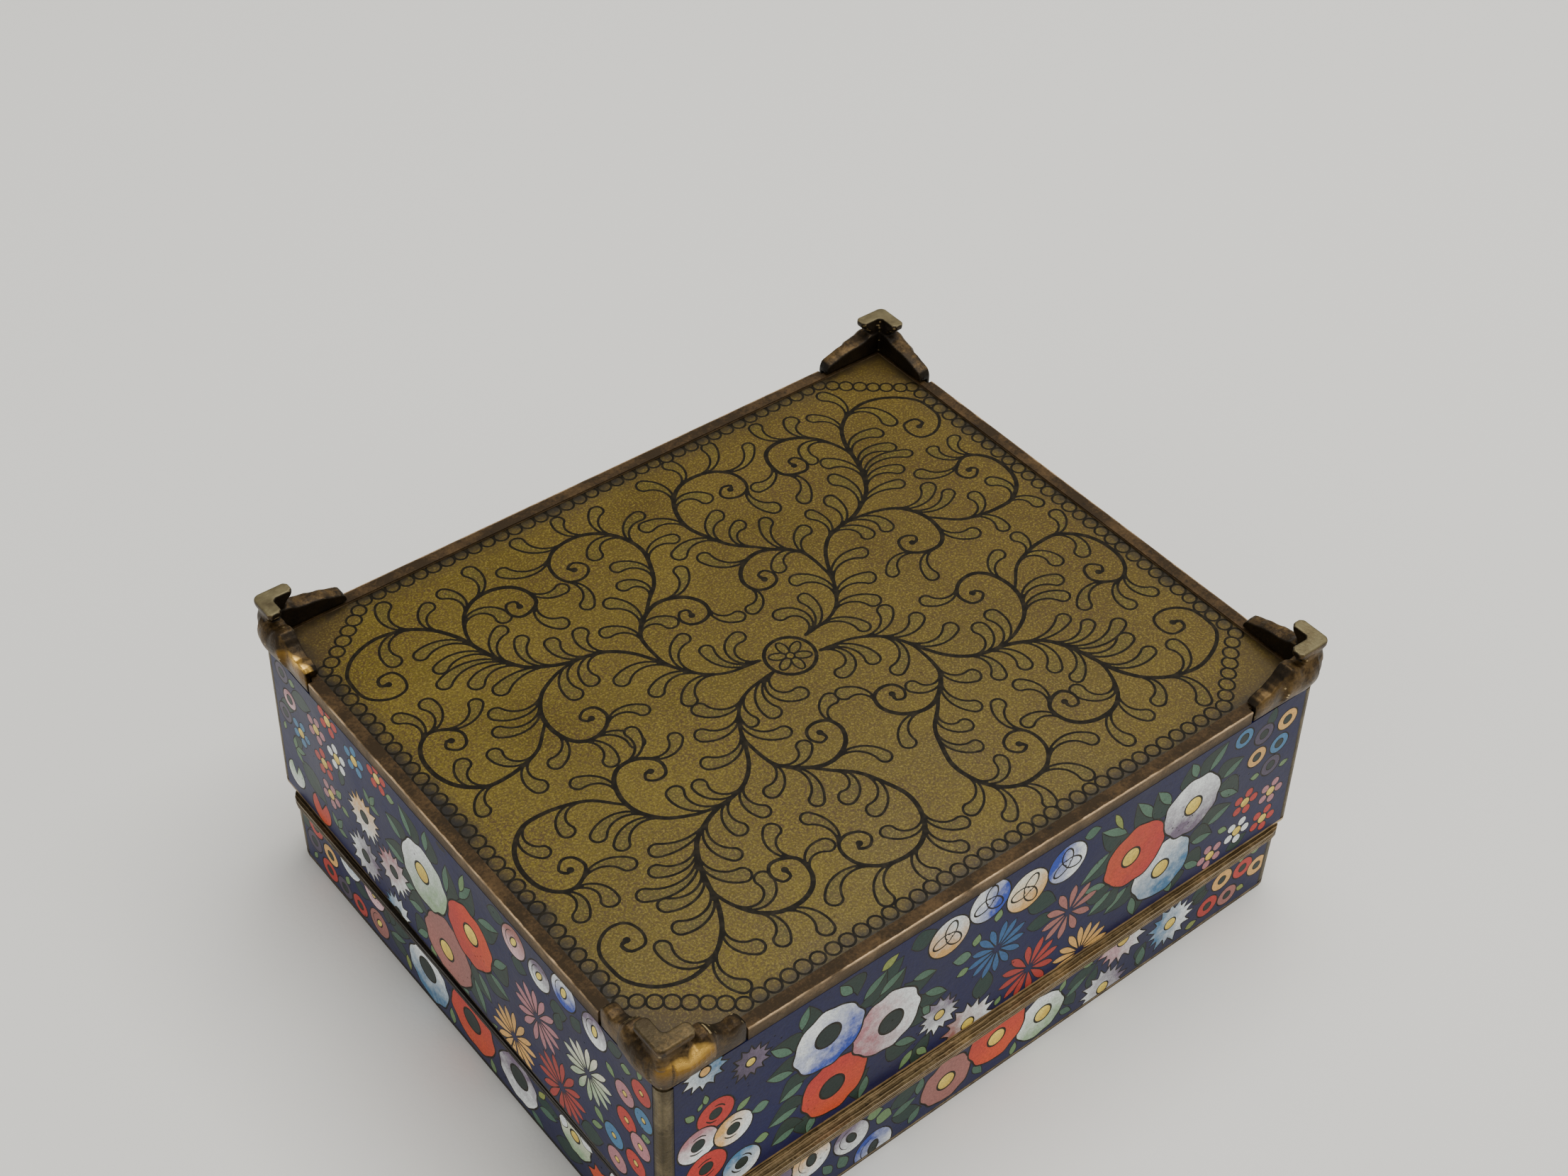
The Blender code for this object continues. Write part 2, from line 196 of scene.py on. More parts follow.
def grown(points, distance):
    """The outline moved outwards, or inwards where the distance is negative."""
    if signed_area(points) < 0:
        points = points[::-1]
    pairs = []
    count = len(points)
    for i, here in enumerate(points):
        before = Vector(here) - Vector(points[i - 1])
        after = Vector(points[(i + 1) % count]) - Vector(here)
        if before.length == 0 or after.length == 0:
            continue
        normal = square_to(before) + square_to(after)
        if normal.length < SHARPEST:
            continue
        normal.normalize()
        stretch = min(1 / max(normal.dot(square_to(after)), LEAST_COSINE), MITRE_LIMIT)
        pairs.append((Vector(here), Vector(here) + normal * distance * stretch))
    while True:
        kept = []
        for pair, following in zip(pairs, pairs[1:] + pairs[:1]):
            if (following[1] - pair[1]).dot(following[0] - pair[0]) > 0:
                kept.append(pair)
        if len(kept) == len(pairs):
            return [tuple(moved) for _, moved in pairs]
        pairs = kept


def arc_points(centre, radius_x, radius_y, turn=0.0, start=0.0, end=360.0, count=24):
    """Points of an ellipse or of a part of one, turned by some degrees."""
    whole = abs(end - start) >= 360
    cosine = math.cos(math.radians(turn))
    sine = math.sin(math.radians(turn))
    points = []
    for step in range(count if whole else count + 1):
        angle = math.radians(start + (end - start) * step / count)
        x = radius_x * math.cos(angle)
        y = radius_y * math.sin(angle)
        points.append((centre[0] + x * cosine - y * sine, centre[1] + x * sine + y * cosine))
    return points


def lens(base, tip, left, right, bend=0.0):
    """A pointed leaf from base to tip, with its own width on each side of the spine."""
    start = Vector(base)
    way = Vector(tip) - start
    side = Vector((-way.y, way.x)).normalized()
    sides = []
    for width in (left, -right):
        run = []
        for step in range(LENS_STEPS + 1):
            share = step / LENS_STEPS
            swell = math.sin(math.pi * share ** 0.85)
            run.append(tuple(start + way * share + side * (bend + width) * swell))
        sides.append(run)
    return sides[1] + sides[0][-2:0:-1]


def ribbon(path, widths):
    """The outline of a line drawn along a path, with a width at each point."""
    left, right = [], []
    for i, here in enumerate(path):
        before = Vector(path[max(i - 1, 0)])
        after = Vector(path[min(i + 1, len(path) - 1)])
        way = (after - before).normalized()
        side = Vector((-way.y, way.x)) * widths[i] / 2
        left.append(tuple(Vector(here) + side))
        right.append(tuple(Vector(here) - side))
    return right + left[::-1]


def curve_through(points, spacing):
    """A smooth line through the points, sampled about evenly."""
    ends = [points[0]] + list(points) + [points[-1]]
    line = []
    for p0, p1, p2, p3 in zip(ends, ends[1:], ends[2:], ends[3:]):
        steps = max(2, round(math.dist(p1, p2) / spacing))
        for step in range(steps):
            t = step / steps
            place = []
            for a, b, c, d in zip(p0, p1, p2, p3):
                bend = (2 * a - 5 * b + 4 * c - d) * t * t
                place.append(0.5 * (2 * b + (c - a) * t + bend + (3 * b - a - 3 * c + d) * t ** 3))
            line.append(tuple(place))
    line.append(tuple(points[-1]))
    return line


class Painting:
    """Shapes laid over each other on one face, in millimetres, the later ones on top."""

    def __init__(self, outline, ground, level=0.0, down=1.0):
        self.shapes = [outline]
        self.fills = [ground]
        self.level = level
        self.down = down

    def at(self, across, away):
        """A layout's place: across, and down from the level or up from it."""
        return (across, self.level - self.down * away)

    def lay(self, outline, look):
        area = signed_area(outline)
        if len(outline) > 2 and abs(area) > LEAST_AREA:
            self.shapes.append(outline[::-1] if area < 0 else outline)
            self.fills.append(look)

    def cell(self, outline, look, wire=WIRE, wire_fill=WIRE_FILL):
        """A cell of enamel with its wire round it."""
        self.lay(grown(outline, wire / 2), wire_fill)
        self.lay(grown(outline, -wire / 2), look)

    def stroke(self, path, wire=FINE_WIRE):
        """A bare wire along a path, thinner at its ends."""
        last = len(path) - 1
        widths = [wire * (0.6 + 0.4 * math.sin(math.pi * i / last)) for i in range(last + 1)]
        self.lay(ribbon(path, widths), WIRE_FILL)


def eye(painting, centre, radius, colour, ring=0.30):
    """The middle of a flower: a disc with a strong ring."""
    painting.lay(arc_points(centre, radius + ring, radius + ring), WIRE_FILL)
    darker = "deep yellow" if colour == "yellow" else colour
    painting.lay(arc_points(centre, radius, radius), fill(colour, darker, centre, -60, radius))


def bloom(painting, x, away, radius, first, second, angle, eye_x, eye_away, eye_radius, colour):
    """A large flower with one scalloped petal and a round eye."""
    centre = painting.at(x, away)
    draw = random.Random(round(x * 31 + away * 7))
    lobes = draw.choice((7, 8, 9))
    phases = [draw.uniform(0, math.tau) for _ in range(3)]
    outline = []
    for step in range(BLOOM_STEPS):
        turn = math.tau * step / BLOOM_STEPS
        waves = zip(BLOOM_WAVES, (lobes, 3, lobes + 4), phases)
        swell = sum(size * math.cos(number * turn + phase) for size, number, phase in waves)
        outline.append(polar(centre, radius * (1 + swell), turn))
    painting.cell(outline, fill(first, second, centre, angle, radius * 0.8), BLOOM_WIRE)
    eye(painting, painting.at(eye_x, eye_away), eye_radius, colour, 0.34)


def aster(painting, x, away, radius, first, second, angle, colour, points):
    """A flower with a saw-toothed edge."""
    centre = painting.at(x, away)
    draw = random.Random(round(x * 17 + away * 5))
    start = draw.uniform(0, math.tau)
    outline = []
    for tooth in range(points):
        tip = radius * draw.uniform(0.92, 1.06)
        for offset, reach in TOOTH:
            outline.append(polar(centre, tip * reach, start + math.tau * (tooth + offset) / points))
    painting.cell(outline, fill(first, second, centre, angle, radius * 0.8))
    eye(painting, centre, radius * 0.21, colour, 0.24)


def daisy(painting, x, away, radius, petals, colour):
    """Separate narrow petals round a bare middle."""
    centre = painting.at(x, away)
    draw = random.Random(round(x * 13 + away * 3))
    start = draw.uniform(0, math.tau)
    half = radius * 0.085 * (13 / petals) ** 0.5
    far_colour = "warm white" if colour == "pale green" else colour
    for petal in range(petals):
        turn = start + math.tau * (petal + draw.uniform(-0.1, 0.1)) / petals
        tip = polar(centre, radius * draw.uniform(0.93, 1.04), turn)
        base = polar(centre, radius * 0.15, turn)
        side = (-math.sin(turn), math.cos(turn))
        sides = []
        for sign in (1, -1):
            run = []
            for step in range(PETAL_STEPS + 1):
                share = step / PETAL_STEPS
                inside = 0 < share < 1
                width = half * 1.25 * math.sin(math.pi * share ** 1.5) ** 0.7 if inside else 0.0
                ends = zip(base, tip, side)
                run.append(tuple(a + (b - a) * share + out * width * sign for a, b, out in ends))
            sides.append(run)
        outline = sides[1] + sides[0][-2:0:-1]
        painting.lay(grown(outline, FINE_WIRE * 0.9), WIRE_FILL)
        painting.lay(outline, fill(colour, far_colour, centre, 90, radius))


def ring(painting, x, away, radius, first, share, colour="dark centre", second=None, angle=-90):
    """A small round flower with an eye that takes up a share of it."""
    centre = painting.at(x, away)
    look = fill(first, second, centre, angle, radius * 0.7)
    painting.cell(arc_points(centre, radius, radius * 0.97, count=28), look)
    eye(painting, centre, radius * share, colour, 0.16)


def flick_ring(painting, x, away, radius, first, second, angle, turn):
    """A round flower with a curved wire on each side of its eye."""
    ring(painting, x, away, radius, first, 0.30, second=second, angle=angle)
    centre = painting.at(x, away)
    for start in (turn, turn + 180):
        path = arc_points(centre, radius * 0.52, radius * 0.5, 0, start, start + 75, 10)
        painting.stroke(path, FINE_WIRE * 1.7)


def slit(painting, x, away, radius, first, second, angle, turn, colour="yellow"):
    """A rounded flower with a long eye."""
    centre = painting.at(x, away)
    look = fill(first, second, centre, angle, radius * 0.7)
    painting.cell(arc_points(centre, radius, radius * 0.95, turn, count=30), look)
    painting.stroke(arc_points(centre, radius * 0.62, radius * 0.66, 0, 100, 250, 14))
    painting.lay(arc_points(centre, radius * 0.42, radius * 0.27, turn), WIRE_FILL)
    painting.lay(arc_points(centre, radius * 0.33, radius * 0.18, turn), fill(colour))


def five_petal(painting, x, away, radius, colour, start):
    """Five round petals about a yellow eye."""
    centre = painting.at(x, away)
    size = radius * 0.32
    for petal in range(5):
        turn = math.radians(start + 72 * petal)
        place = polar(centre, radius - size, turn)
        outline = arc_points(place, size * 1.05, size, math.degrees(turn), count=16)
        painting.cell(outline, fill(colour), FINE_WIRE)
    eye(painting, centre, size, "yellow", 0.18)


def button(painting, x, away, radius, first, second, angle, start):
    """A disc with three loops of wire laid over it."""
    centre = painting.at(x, away)
    look = fill(first, second, centre, angle, radius * 0.7)
    painting.cell(arc_points(centre, radius, radius, count=32), look)
    for petal in range(3):
        turn = start + 120 * petal
        place = polar(centre, 0.32 * radius, math.radians(turn))
        loop = arc_points(place, radius * 0.46, radius * 0.28, turn, 200, 530, 22)
        painting.stroke(loop, FINE_WIRE * 2.0)


def tulip(painting, x, away, radius, first, second, wedge):
    """A cup-shaped flower with a notch in its rim."""
    centre = painting.at(x, away)
    outline = [centre] + arc_points(centre, radius, radius * 1.05, 0, 90 + wedge, 450 - wedge, 26)
    painting.cell(outline, fill(first, second, centre, -90, radius * 0.8))


def bud(painting, x, away, length, width, turn, colour="sage"):
    """A small closed leaf or bud."""
    centre = painting.at(x, away)
    base, tip = (polar(centre, reach, math.radians(turn)) for reach in (-length / 2, length / 2))
    painting.cell(lens(base, tip, width / 2, width / 2), fill(colour), FINE_WIRE)


def trio(painting, x, away, turn):
    """Three small leaves on one point."""
    base = painting.at(x, away)
    for offset, length in ((-62, 2.6), (0, 3.2), (62, 2.6)):
        tip = polar(base, length, math.radians(turn + offset))
        look = fill("sage", "light leaf 2", base, turn, 3.0)
        painting.cell(lens(base, tip, 0.62, 0.62), look, FINE_WIRE)


def leaf_pair(painting, base_x, base_away, tip_x, tip_away, dark_side):
    """A leaf that is pale on one side of the spine and dark on the other."""
    base = painting.at(base_x, base_away)
    tip = painting.at(tip_x, tip_away)
    root = tuple(b + (b - t) * 0.35 for b, t in zip(base, tip))
    for start, widths, names, angle in (
        (root, (0.15, 2.7), ("dark leaf", "dark leaf 2"), 70),
        (base, (1.25, 0.30), ("light leaf", "light leaf 2"), 20),
    ):
        left, right = widths[::-1] if dark_side > 0 else widths
        outline = lens(start, tip, left, right, LEAF_BEND * dark_side)
        painting.cell(outline, fill(*names, base, angle, 3.0), FINE_WIRE)


def shadow_leaf(painting, x, away, length, width, turn):
    """A dark leaf on its own, in the ground between the flowers."""
    bud(painting, x, away, length * 1.25, width * 1.2, turn, "dark leaf")


def crack(painting, x, away, length, height):
    """A dark gap where enamel is lost."""
    left, top = painting.at(x - length / 2, away - height / 2)
    right, bottom = painting.at(x + length / 2, away + height / 2)
    middle = (top + bottom) / 2
    outline = [
        (left, middle), (left + length * 0.2, bottom), (right - length * 0.3, bottom * 0.5 + middle * 0.5),
        (right, bottom), (right, top), (left + length * 0.1, top),
    ]
    painting.lay(outline, fill("wire", "ground"))


MOTIFS = {
    "bloom": bloom,
    "aster": aster,
    "daisy": daisy,
    "ring": ring,
    "flick ring": flick_ring,
    "slit": slit,
    "five petal": five_petal,
    "button": button,
    "tulip": tulip,
    "bud": bud,
    "trio": trio,
    "left leaf": partial(leaf_pair, dark_side=-1),
    "right leaf": partial(leaf_pair, dark_side=1),
    "shadow leaf": shadow_leaf,
    "crack": crack,
}

# A layout is made of runs: a motif's name, then the values of each one. Later ones lie on top.
# The body's long front: across from its middle, and down from the plane of the underside
BODY_FRONT = (
    ("shadow leaf", (-20.3, 6.4, 4.0, 2.4, 40), (-15.2, 4.1, 3.4, 3.0, 10), (5.4, 12.0, 5.0, 3.2, -30),
     (-14.5, 26.5, 4.5, 2.4, 60), (-4.0, 21.6, 4.4, 3.0, 80), (5.8, 16.0, 4.5, 2.4, -10),
     (47.0, 3.6, 3.0, 1.6, 80), (44.4, 27.0, 3.4, 2.0, 20)),
    ("left leaf", (-34.4, 6.8, -33.3, 2.9), (-26.5, 5.8, -28.6, 2.9), (-24.7, 8.7, -21.0, 5.6),
     (-22.1, 9.8, -17.9, 7.3), (-16.6, 11.0, -12.6, 12.0), (-14.4, 15.3, -10.5, 17.8),
     (-14.6, 18.0, -12.8, 21.0), (-19.1, 22.0, -15.3, 24.1), (-23.6, 24.8, -24.8, 29.0),
     (-32.4, 25.8, -33.3, 28.9), (-35.2, 25.8, -39.0, 26.6), (-34.8, 21.8, -39.5, 22.3),
     (-34.0, 17.3, -37.8, 18.6), (-35.6, 14.0, -39.8, 12.4), (-35.7, 10.1, -39.2, 6.9)),
    ("right leaf", (20.3, 8.8, 15.2, 5.3), (25.5, 9.3, 21.5, 3.9), (28.4, 8.6, 25.3, 4.3),
     (32.9, 6.3, 31.5, 2.9), (35.3, 6.8, 38.4, 2.9), (38.5, 10.2, 42.3, 8.3), (38.5, 13.0, 42.5, 15.5),
     (37.0, 18.6, 41.5, 17.0), (34.2, 20.3, 38.4, 21.0), (33.5, 24.3, 36.9, 26.5),
     (30.6, 25.7, 31.2, 28.3), (23.2, 23.8, 24.2, 28.3), (22.0, 20.7, 18.0, 23.7),
     (18.8, 19.2, 14.7, 21.6), (17.5, 17.2, 13.0, 15.8), (17.4, 10.6, 12.4, 13.8)),
    ("bloom", (-29.0, 22.1, 5.3, "red", "orange", -75, -29.3, 22.3, 1.8, "dark centre"),
     (-20.6, 16.2, 5.6, "pink", "white", 10, -19.9, 16.7, 1.85, "dark centre"),
     (-30.1, 11.8, 5.6, "white", "blue", -55, -30.2, 11.2, 1.85, "dark centre"),
     (28.6, 21.5, 5.5, "white", "light blue", -60, 28.4, 21.5, 1.45, "yellow"),
     (32.9, 11.9, 5.4, "white", "lavender", -100, 33.2, 12.1, 1.45, "yellow"),
     (22.6, 14.6, 5.6, "orange", "red", -15, 21.8, 14.6, 1.5, "yellow")),
    ("aster", (-48.8, 2.9, 3.5, "white", "light blue", 15, "tan", 12),
     (-42.1, 6.6, 3.1, "grey purple", "lavender", 15, "yellow", 13),
     (-11.5, 22.0, 3.7, "lavender", "white", -110, "yellow", 13),
     (-6.2, 28.1, 4.8, "dusty pink", "white", 15, "yellow", 14)),
    ("button", (-10.9, 6.8, 3.45, "white", "tan", -110, 75),
     (2.4, 7.5, 3.6, "warm white", "tan", -70, 60), (-4.2, 4.9, 3.5, "white", "blue", -30, 80),
     (9.35, 7.0, 3.45, "blue", "white", -25, 95)),
    ("daisy", (-2.1, 15.7, 4.9, 13, "steel blue"), (10.8, 17.8, 5.0, 10, "dusty pink"),
     (4.3, 24.6, 5.2, 12, "brick"), (14.0, 28.2, 5.2, 15, "tan")),
    ("flick ring", (-47.4, 12.3, 2.85, "red", "red", 0, 200),
     (-50.1, 16.5, 3.1, "pink", "white", -80, 40), (-44.8, 17.6, 3.0, "tan", "white", -20, 30),
     (-49.0, 22.2, 3.2, "red", "red", 0, 60), (-43.6, 25.9, 3.0, "light blue", "white", -70, 190)),
    ("ring", (41.6, 4.4, 1.8, "light blue", 0.42), (45.8, 6.2, 1.9, "grey purple", 0.4),
     (50.4, 6.1, 1.95, "tan", 0.38), (45.2, 10.3, 1.85, "tan", 0.38),
     (49.6, 10.3, 1.85, "light blue", 0.4), (48.7, 14.1, 1.9, "grey purple", 0.4)),
    ("five petal", (44.6, 19.0, 2.55, "red", 72), (50.0, 20.2, 2.45, "pink", 66),
     (44.0, 24.5, 2.55, "white", 62), (49.4, 25.5, 2.55, "red", 64), (38.9, 26.2, 2.5, "pink", 40)),
    ("bud", (-20.6, 4.4, 3.2, 1.7, 30, "yellow green"), (18.4, 5.4, 4.6, 1.1, -65, "yellow green"),
     (13.5, 4.1, 3.0, 2.2, 0, "light leaf 2"), (-5.9, 11.2, 2.2, 1.6, 70),
     (-8.3, 13.1, 3.4, 2.2, 165, "light leaf"), (-8.0, 16.1, 2.2, 1.5, 190), (-2.4, 8.9, 2.2, 1.5, 70),
     (-17.0, 27.0, 3.4, 1.6, 230), (-14.2, 27.4, 3.0, 1.4, -50), (-48.8, 8.4, 2.0, 1.0, 95),
     (-51.2, 10.2, 2.2, 1.2, 130), (-49.6, 9.2, 1.4, 0.8, 60), (-43.2, 13.9, 2.6, 1.4, 30),
     (-40.7, 16.8, 2.8, 2.0, 180, "light leaf"), (-40.5, 23.4, 2.4, 1.8, 170),
     (40.7, 22.1, 2.4, 1.3, -30), (45.6, 14.5, 2.0, 1.3, 170), (51.6, 15.4, 2.0, 1.2, 10),
     (-0.9, 27.4, 1.8, 1.2, 60)),
)

# The body's short side with the light flower in it, laid out in the same way
BODY_SIDE = (
    ("shadow leaf", (-37.0, 6.0, 4.4, 2.6, 10), (-27.4, 12.6, 3.0, 1.4, 80), (-36.4, 21.4, 6.0, 3.6, -30),
     (11.8, 3.8, 3.6, 2.2, 10), (16.5, 8.9, 2.8, 2.4, 0), (25.2, 8.9, 3.2, 2.6, 20),
     (29.0, 7.4, 2.6, 2.0, 60), (37.2, 3.6, 2.8, 2.0, 30), (25.0, 11.0, 3.0, 1.8, 80),
     (31.8, 26.8, 4.2, 3.0, 20), (-39.8, 16.2, 3.0, 1.8, 40), (-41.6, 10.4, 3.0, 1.8, 10)),
    ("left leaf", (-8.7, 8.0, -11.5, 3.9), (-5.2, 7.4, -4.9, 3.3), (-11.6, 11.0, -15.4, 8.9),
     (-11.5, 15.8, -16.4, 15.2), (-9.0, 19.0, -14.0, 19.8), (-7.5, 21.7, -11.4, 22.8),
     (-6.9, 25.6, -9.8, 28.0), (-0.6, 11.2, -0.2, 5.4), (2.7, 9.1, 5.9, 4.4), (7.0, 9.3, 12.0, 7.0),
     (10.2, 15.1, 13.5, 12.0), (9.0, 17.8, 13.6, 19.0), (6.0, 20.7, 9.0, 24.2), (4.8, 23.2, 7.4, 28.4),
     (3.0, 27.8, 1.0, 30.3)),
    ("bud", (3.6, 5.4, 4.4, 1.3, 75, "sage"), (-5.7, 28.4, 3.0, 1.5, -80, "sage")),
    ("bloom", (-1.5, 23.5, 5.75, "dusty pink", "dusty pink", 0, -2.0, 24.25, 1.5, "yellow")),
    ("aster", (-14.9, 29.0, 3.9, "light blue", "white", 15, "dark centre", 14),
     (-14.9, 20.5, 4.25, "pink", "white", -50, "dark centre", 14)),
    ("bloom", (-6.3, 13.5, 5.6, "white", "pale green", -50, -6.8, 13.1, 1.5, "yellow"),
     (4.6, 15.0, 5.3, "red", "orange", 10, 4.9, 14.3, 1.5, "yellow")),
    ("aster", (-21.9, 15.75, 4.3, "tan", "white", -90, "dark centre", 15),
     (-22.9, 24.6, 4.4, "white", "lavender", 10, "dark centre", 14)),
    ("five petal", (-29.5, 3.6, 2.6, "red", 80), (-22.9, 5.65, 2.6, "light blue", 90),
     (-16.8, 3.8, 2.5, "red", 95), (-33.4, 8.4, 2.5, "pink", 75), (-28.1, 9.7, 2.55, "white", 100),
     (-38.4, 13.2, 2.45, "light blue", 70), (-32.2, 14.0, 2.6, "red", 100),
     (-31.4, 19.6, 2.5, "pink", 65)),
    ("ring", (-42.0, 4.25, 1.75, "grey purple", 0.4),
     (-40.6, 8.4, 1.75, "pink", 0.4, "dark centre", "pale pink"), (-42.6, 12.5, 1.75, "grey purple", 0.4)),
    ("tulip", (-42.0, 24.5, 2.3, "pale green", "white", 22), (-35.2, 26.0, 2.6, "red", "orange", 34)),
    ("slit", (15.5, 5.25, 2.75, "dusty pink", "pale pink", -90, 60),
     (21.1, 6.25, 2.5, "lavender", "white", -100, 55), (26.5, 4.0, 2.8, "white", "blue", -70, 75),
     (33.0, 4.6, 2.75, "lavender", "white", -80, 90)),
    ("daisy", (20.1, 15.5, 5.1, 13, "pink"), (31.3, 14.75, 5.1, 14, "pale green"),
     (14.2, 25.75, 5.0, 14, "tan"), (25.1, 24.5, 5.2, 14, "brick")),
    ("ring", (42.5, 6.25, 2.0, "red", 0.18, "yellow"), (39.1, 10.1, 2.0, "pink", 0.2, "yellow"),
     (42.9, 11.25, 1.9, "light blue", 0.2, "yellow"), (39.4, 15.1, 2.05, "red", 0.2, "yellow"),
     (42.2, 17.4, 2.1, "pink", 0.2, "yellow"), (36.6, 21.5, 2.05, "light blue", 0.2, "yellow"),
     (41.2, 22.0, 2.1, "red", 0.2, "yellow"), (37.2, 25.9, 2.1, "pink", 0.2, "yellow")),
    ("bud", (39.4, 5.0, 2.2, 1.5, 10), (36.2, 8.6, 2.4, 1.4, -40), (43.4, 14.4, 2.2, 1.4, 30),
     (33.5, 20.7, 2.6, 1.7, -40), (33.0, 23.4, 3.0, 1.3, 35), (42.2, 2.9, 2.4, 1.1, 80),
     (-39.2, 4.3, 1.8, 1.4, 0), (-13.6, 5.0, 2.2, 1.5, 10), (-29.0, 17.5, 2.4, 1.5, 50),
     (-27.6, 19.8, 2.2, 1.3, -20), (9.0, 29.2, 3.0, 1.4, 50), (-43.4, 15.6, 1.8, 0.9, 80)),
    ("trio", (-19.8, 11.4, 60), (-30.6, 25.6, 60), (-41.0, 18.3, 20)),
    ("crack", (-0.1, 2.8, 4.2, 0.9)),
)

# The lid's long front, from its own middle and up from its rim's face
LID_FRONT = (
    ("shadow leaf", (-17.2, 8.6, 4.4, 2.6, 20), (-16.6, 4.2, 4.6, 2.6, -20), (15.0, 8.2, 4.6, 2.6, 15),
     (13.2, 4.6, 3.0, 2.0, -60), (38.0, 9.0, 3.4, 2.0, 60), (38.6, 7.4, 2.6, 1.6, 20),
     (27.0, 4.4, 2.6, 2.0, 60), (27.2, 2.4, 2.6, 1.6, 90), (17.2, 6.2, 3.4, 1.8, 70)),
    ("bud", (27.2, 3.2, 4.0, 1.9, 85, "light leaf 2"), (38.4, 7.9, 3.0, 1.8, 40, "dark leaf 2"),
     (-30.2, 3.8, 3.2, 1.6, 120, "light leaf 2"), (-27.6, 3.2, 3.4, 2.0, 110, "light leaf 2"),
     (14.2, 6.6, 4.4, 1.4, 28, "light leaf 2"), (-17.2, 6.1, 4.4, 1.7, 15, "light leaf 2"),
     (12.6, 2.4, 3.0, 1.5, -35, "light leaf 2"), (-3.9, 2.9, 3.4, 1.5, -55, "light leaf 2"),
     (-15.2, 2.6, 3.2, 1.8, 55, "light leaf 2"), (-14.6, 8.6, 3.6, 1.6, 80, "light leaf 2")),
    ("slit", (-33.0, 8.7, 3.4, "tan", "white", -70, 95, "dark centre"),
     (-26.3, 7.5, 3.15, "lavender", "white", -65, 120, "dark centre"),
     (-22.3, 1.8, 3.45, "blue", "white", -50, 75, "dark centre"),
     (-38.6, 9.0, 2.6, "grey purple", "lavender", -40, 75, "dark centre")),
    ("ring", (-44.0, 7.6, 2.1, "red", 0.36), (-48.6, 8.0, 2.0, "tan", 0.36),
     (-41.0, 3.6, 2.0, "light blue", 0.36), (-45.6, 3.4, 2.0, "pink", 0.36),
     (-50.2, 4.0, 2.0, "red", 0.36)),
    ("bloom", (7.4, 5.6, 4.45, "white", "pale green", -75, 7.9, 5.7, 1.4, "yellow"),
     (-9.75, 5.7, 4.5, "dusty pink", "dusty pink", 0, -9.75, 5.45, 1.4, "yellow"),
     (-0.8, 8.0, 5.15, "red", "orange", -80, -0.9, 7.65, 1.42, "yellow")),
    ("aster", (19.9, 1.75, 4.7, "white", "lavender", 10, "yellow", 15),
     (22.7, 10.1, 4.9, "pink", "white", 10, "yellow", 14),
     (32.6, 6.15, 4.8, "light blue", "white", 0, "yellow", 15)),
    ("ring", (42.8, 8.2, 2.1, "tan", 0.34), (47.2, 7.7, 2.05, "red", 0.34), (50.5, 5.9, 2.0, "tan", 0.34),
     (40.6, 4.0, 2.1, "red", 0.34), (44.8, 3.4, 2.0, "dusty pink", 0.34)),
    ("bud", (37.6, 2.1, 2.4, 1.6, 10, "yellow green"), (47.7, 3.0, 2.0, 1.3, -30, "yellow green"),
     (46.5, 10.2, 1.6, 1.1, 80), (49.4, 10.2, 2.0, 1.5, 20), (16.0, 9.9, 2.2, 1.0, -10),
     (11.3, 9.1, 2.4, 1.2, 70), (2.8, 2.0, 2.8, 1.3, 80, "sage"), (-22.4, 9.4, 2.8, 2.4, 0, "sage"),
     (-20.7, 7.3, 3.2, 2.8, -30, "sage")),
)

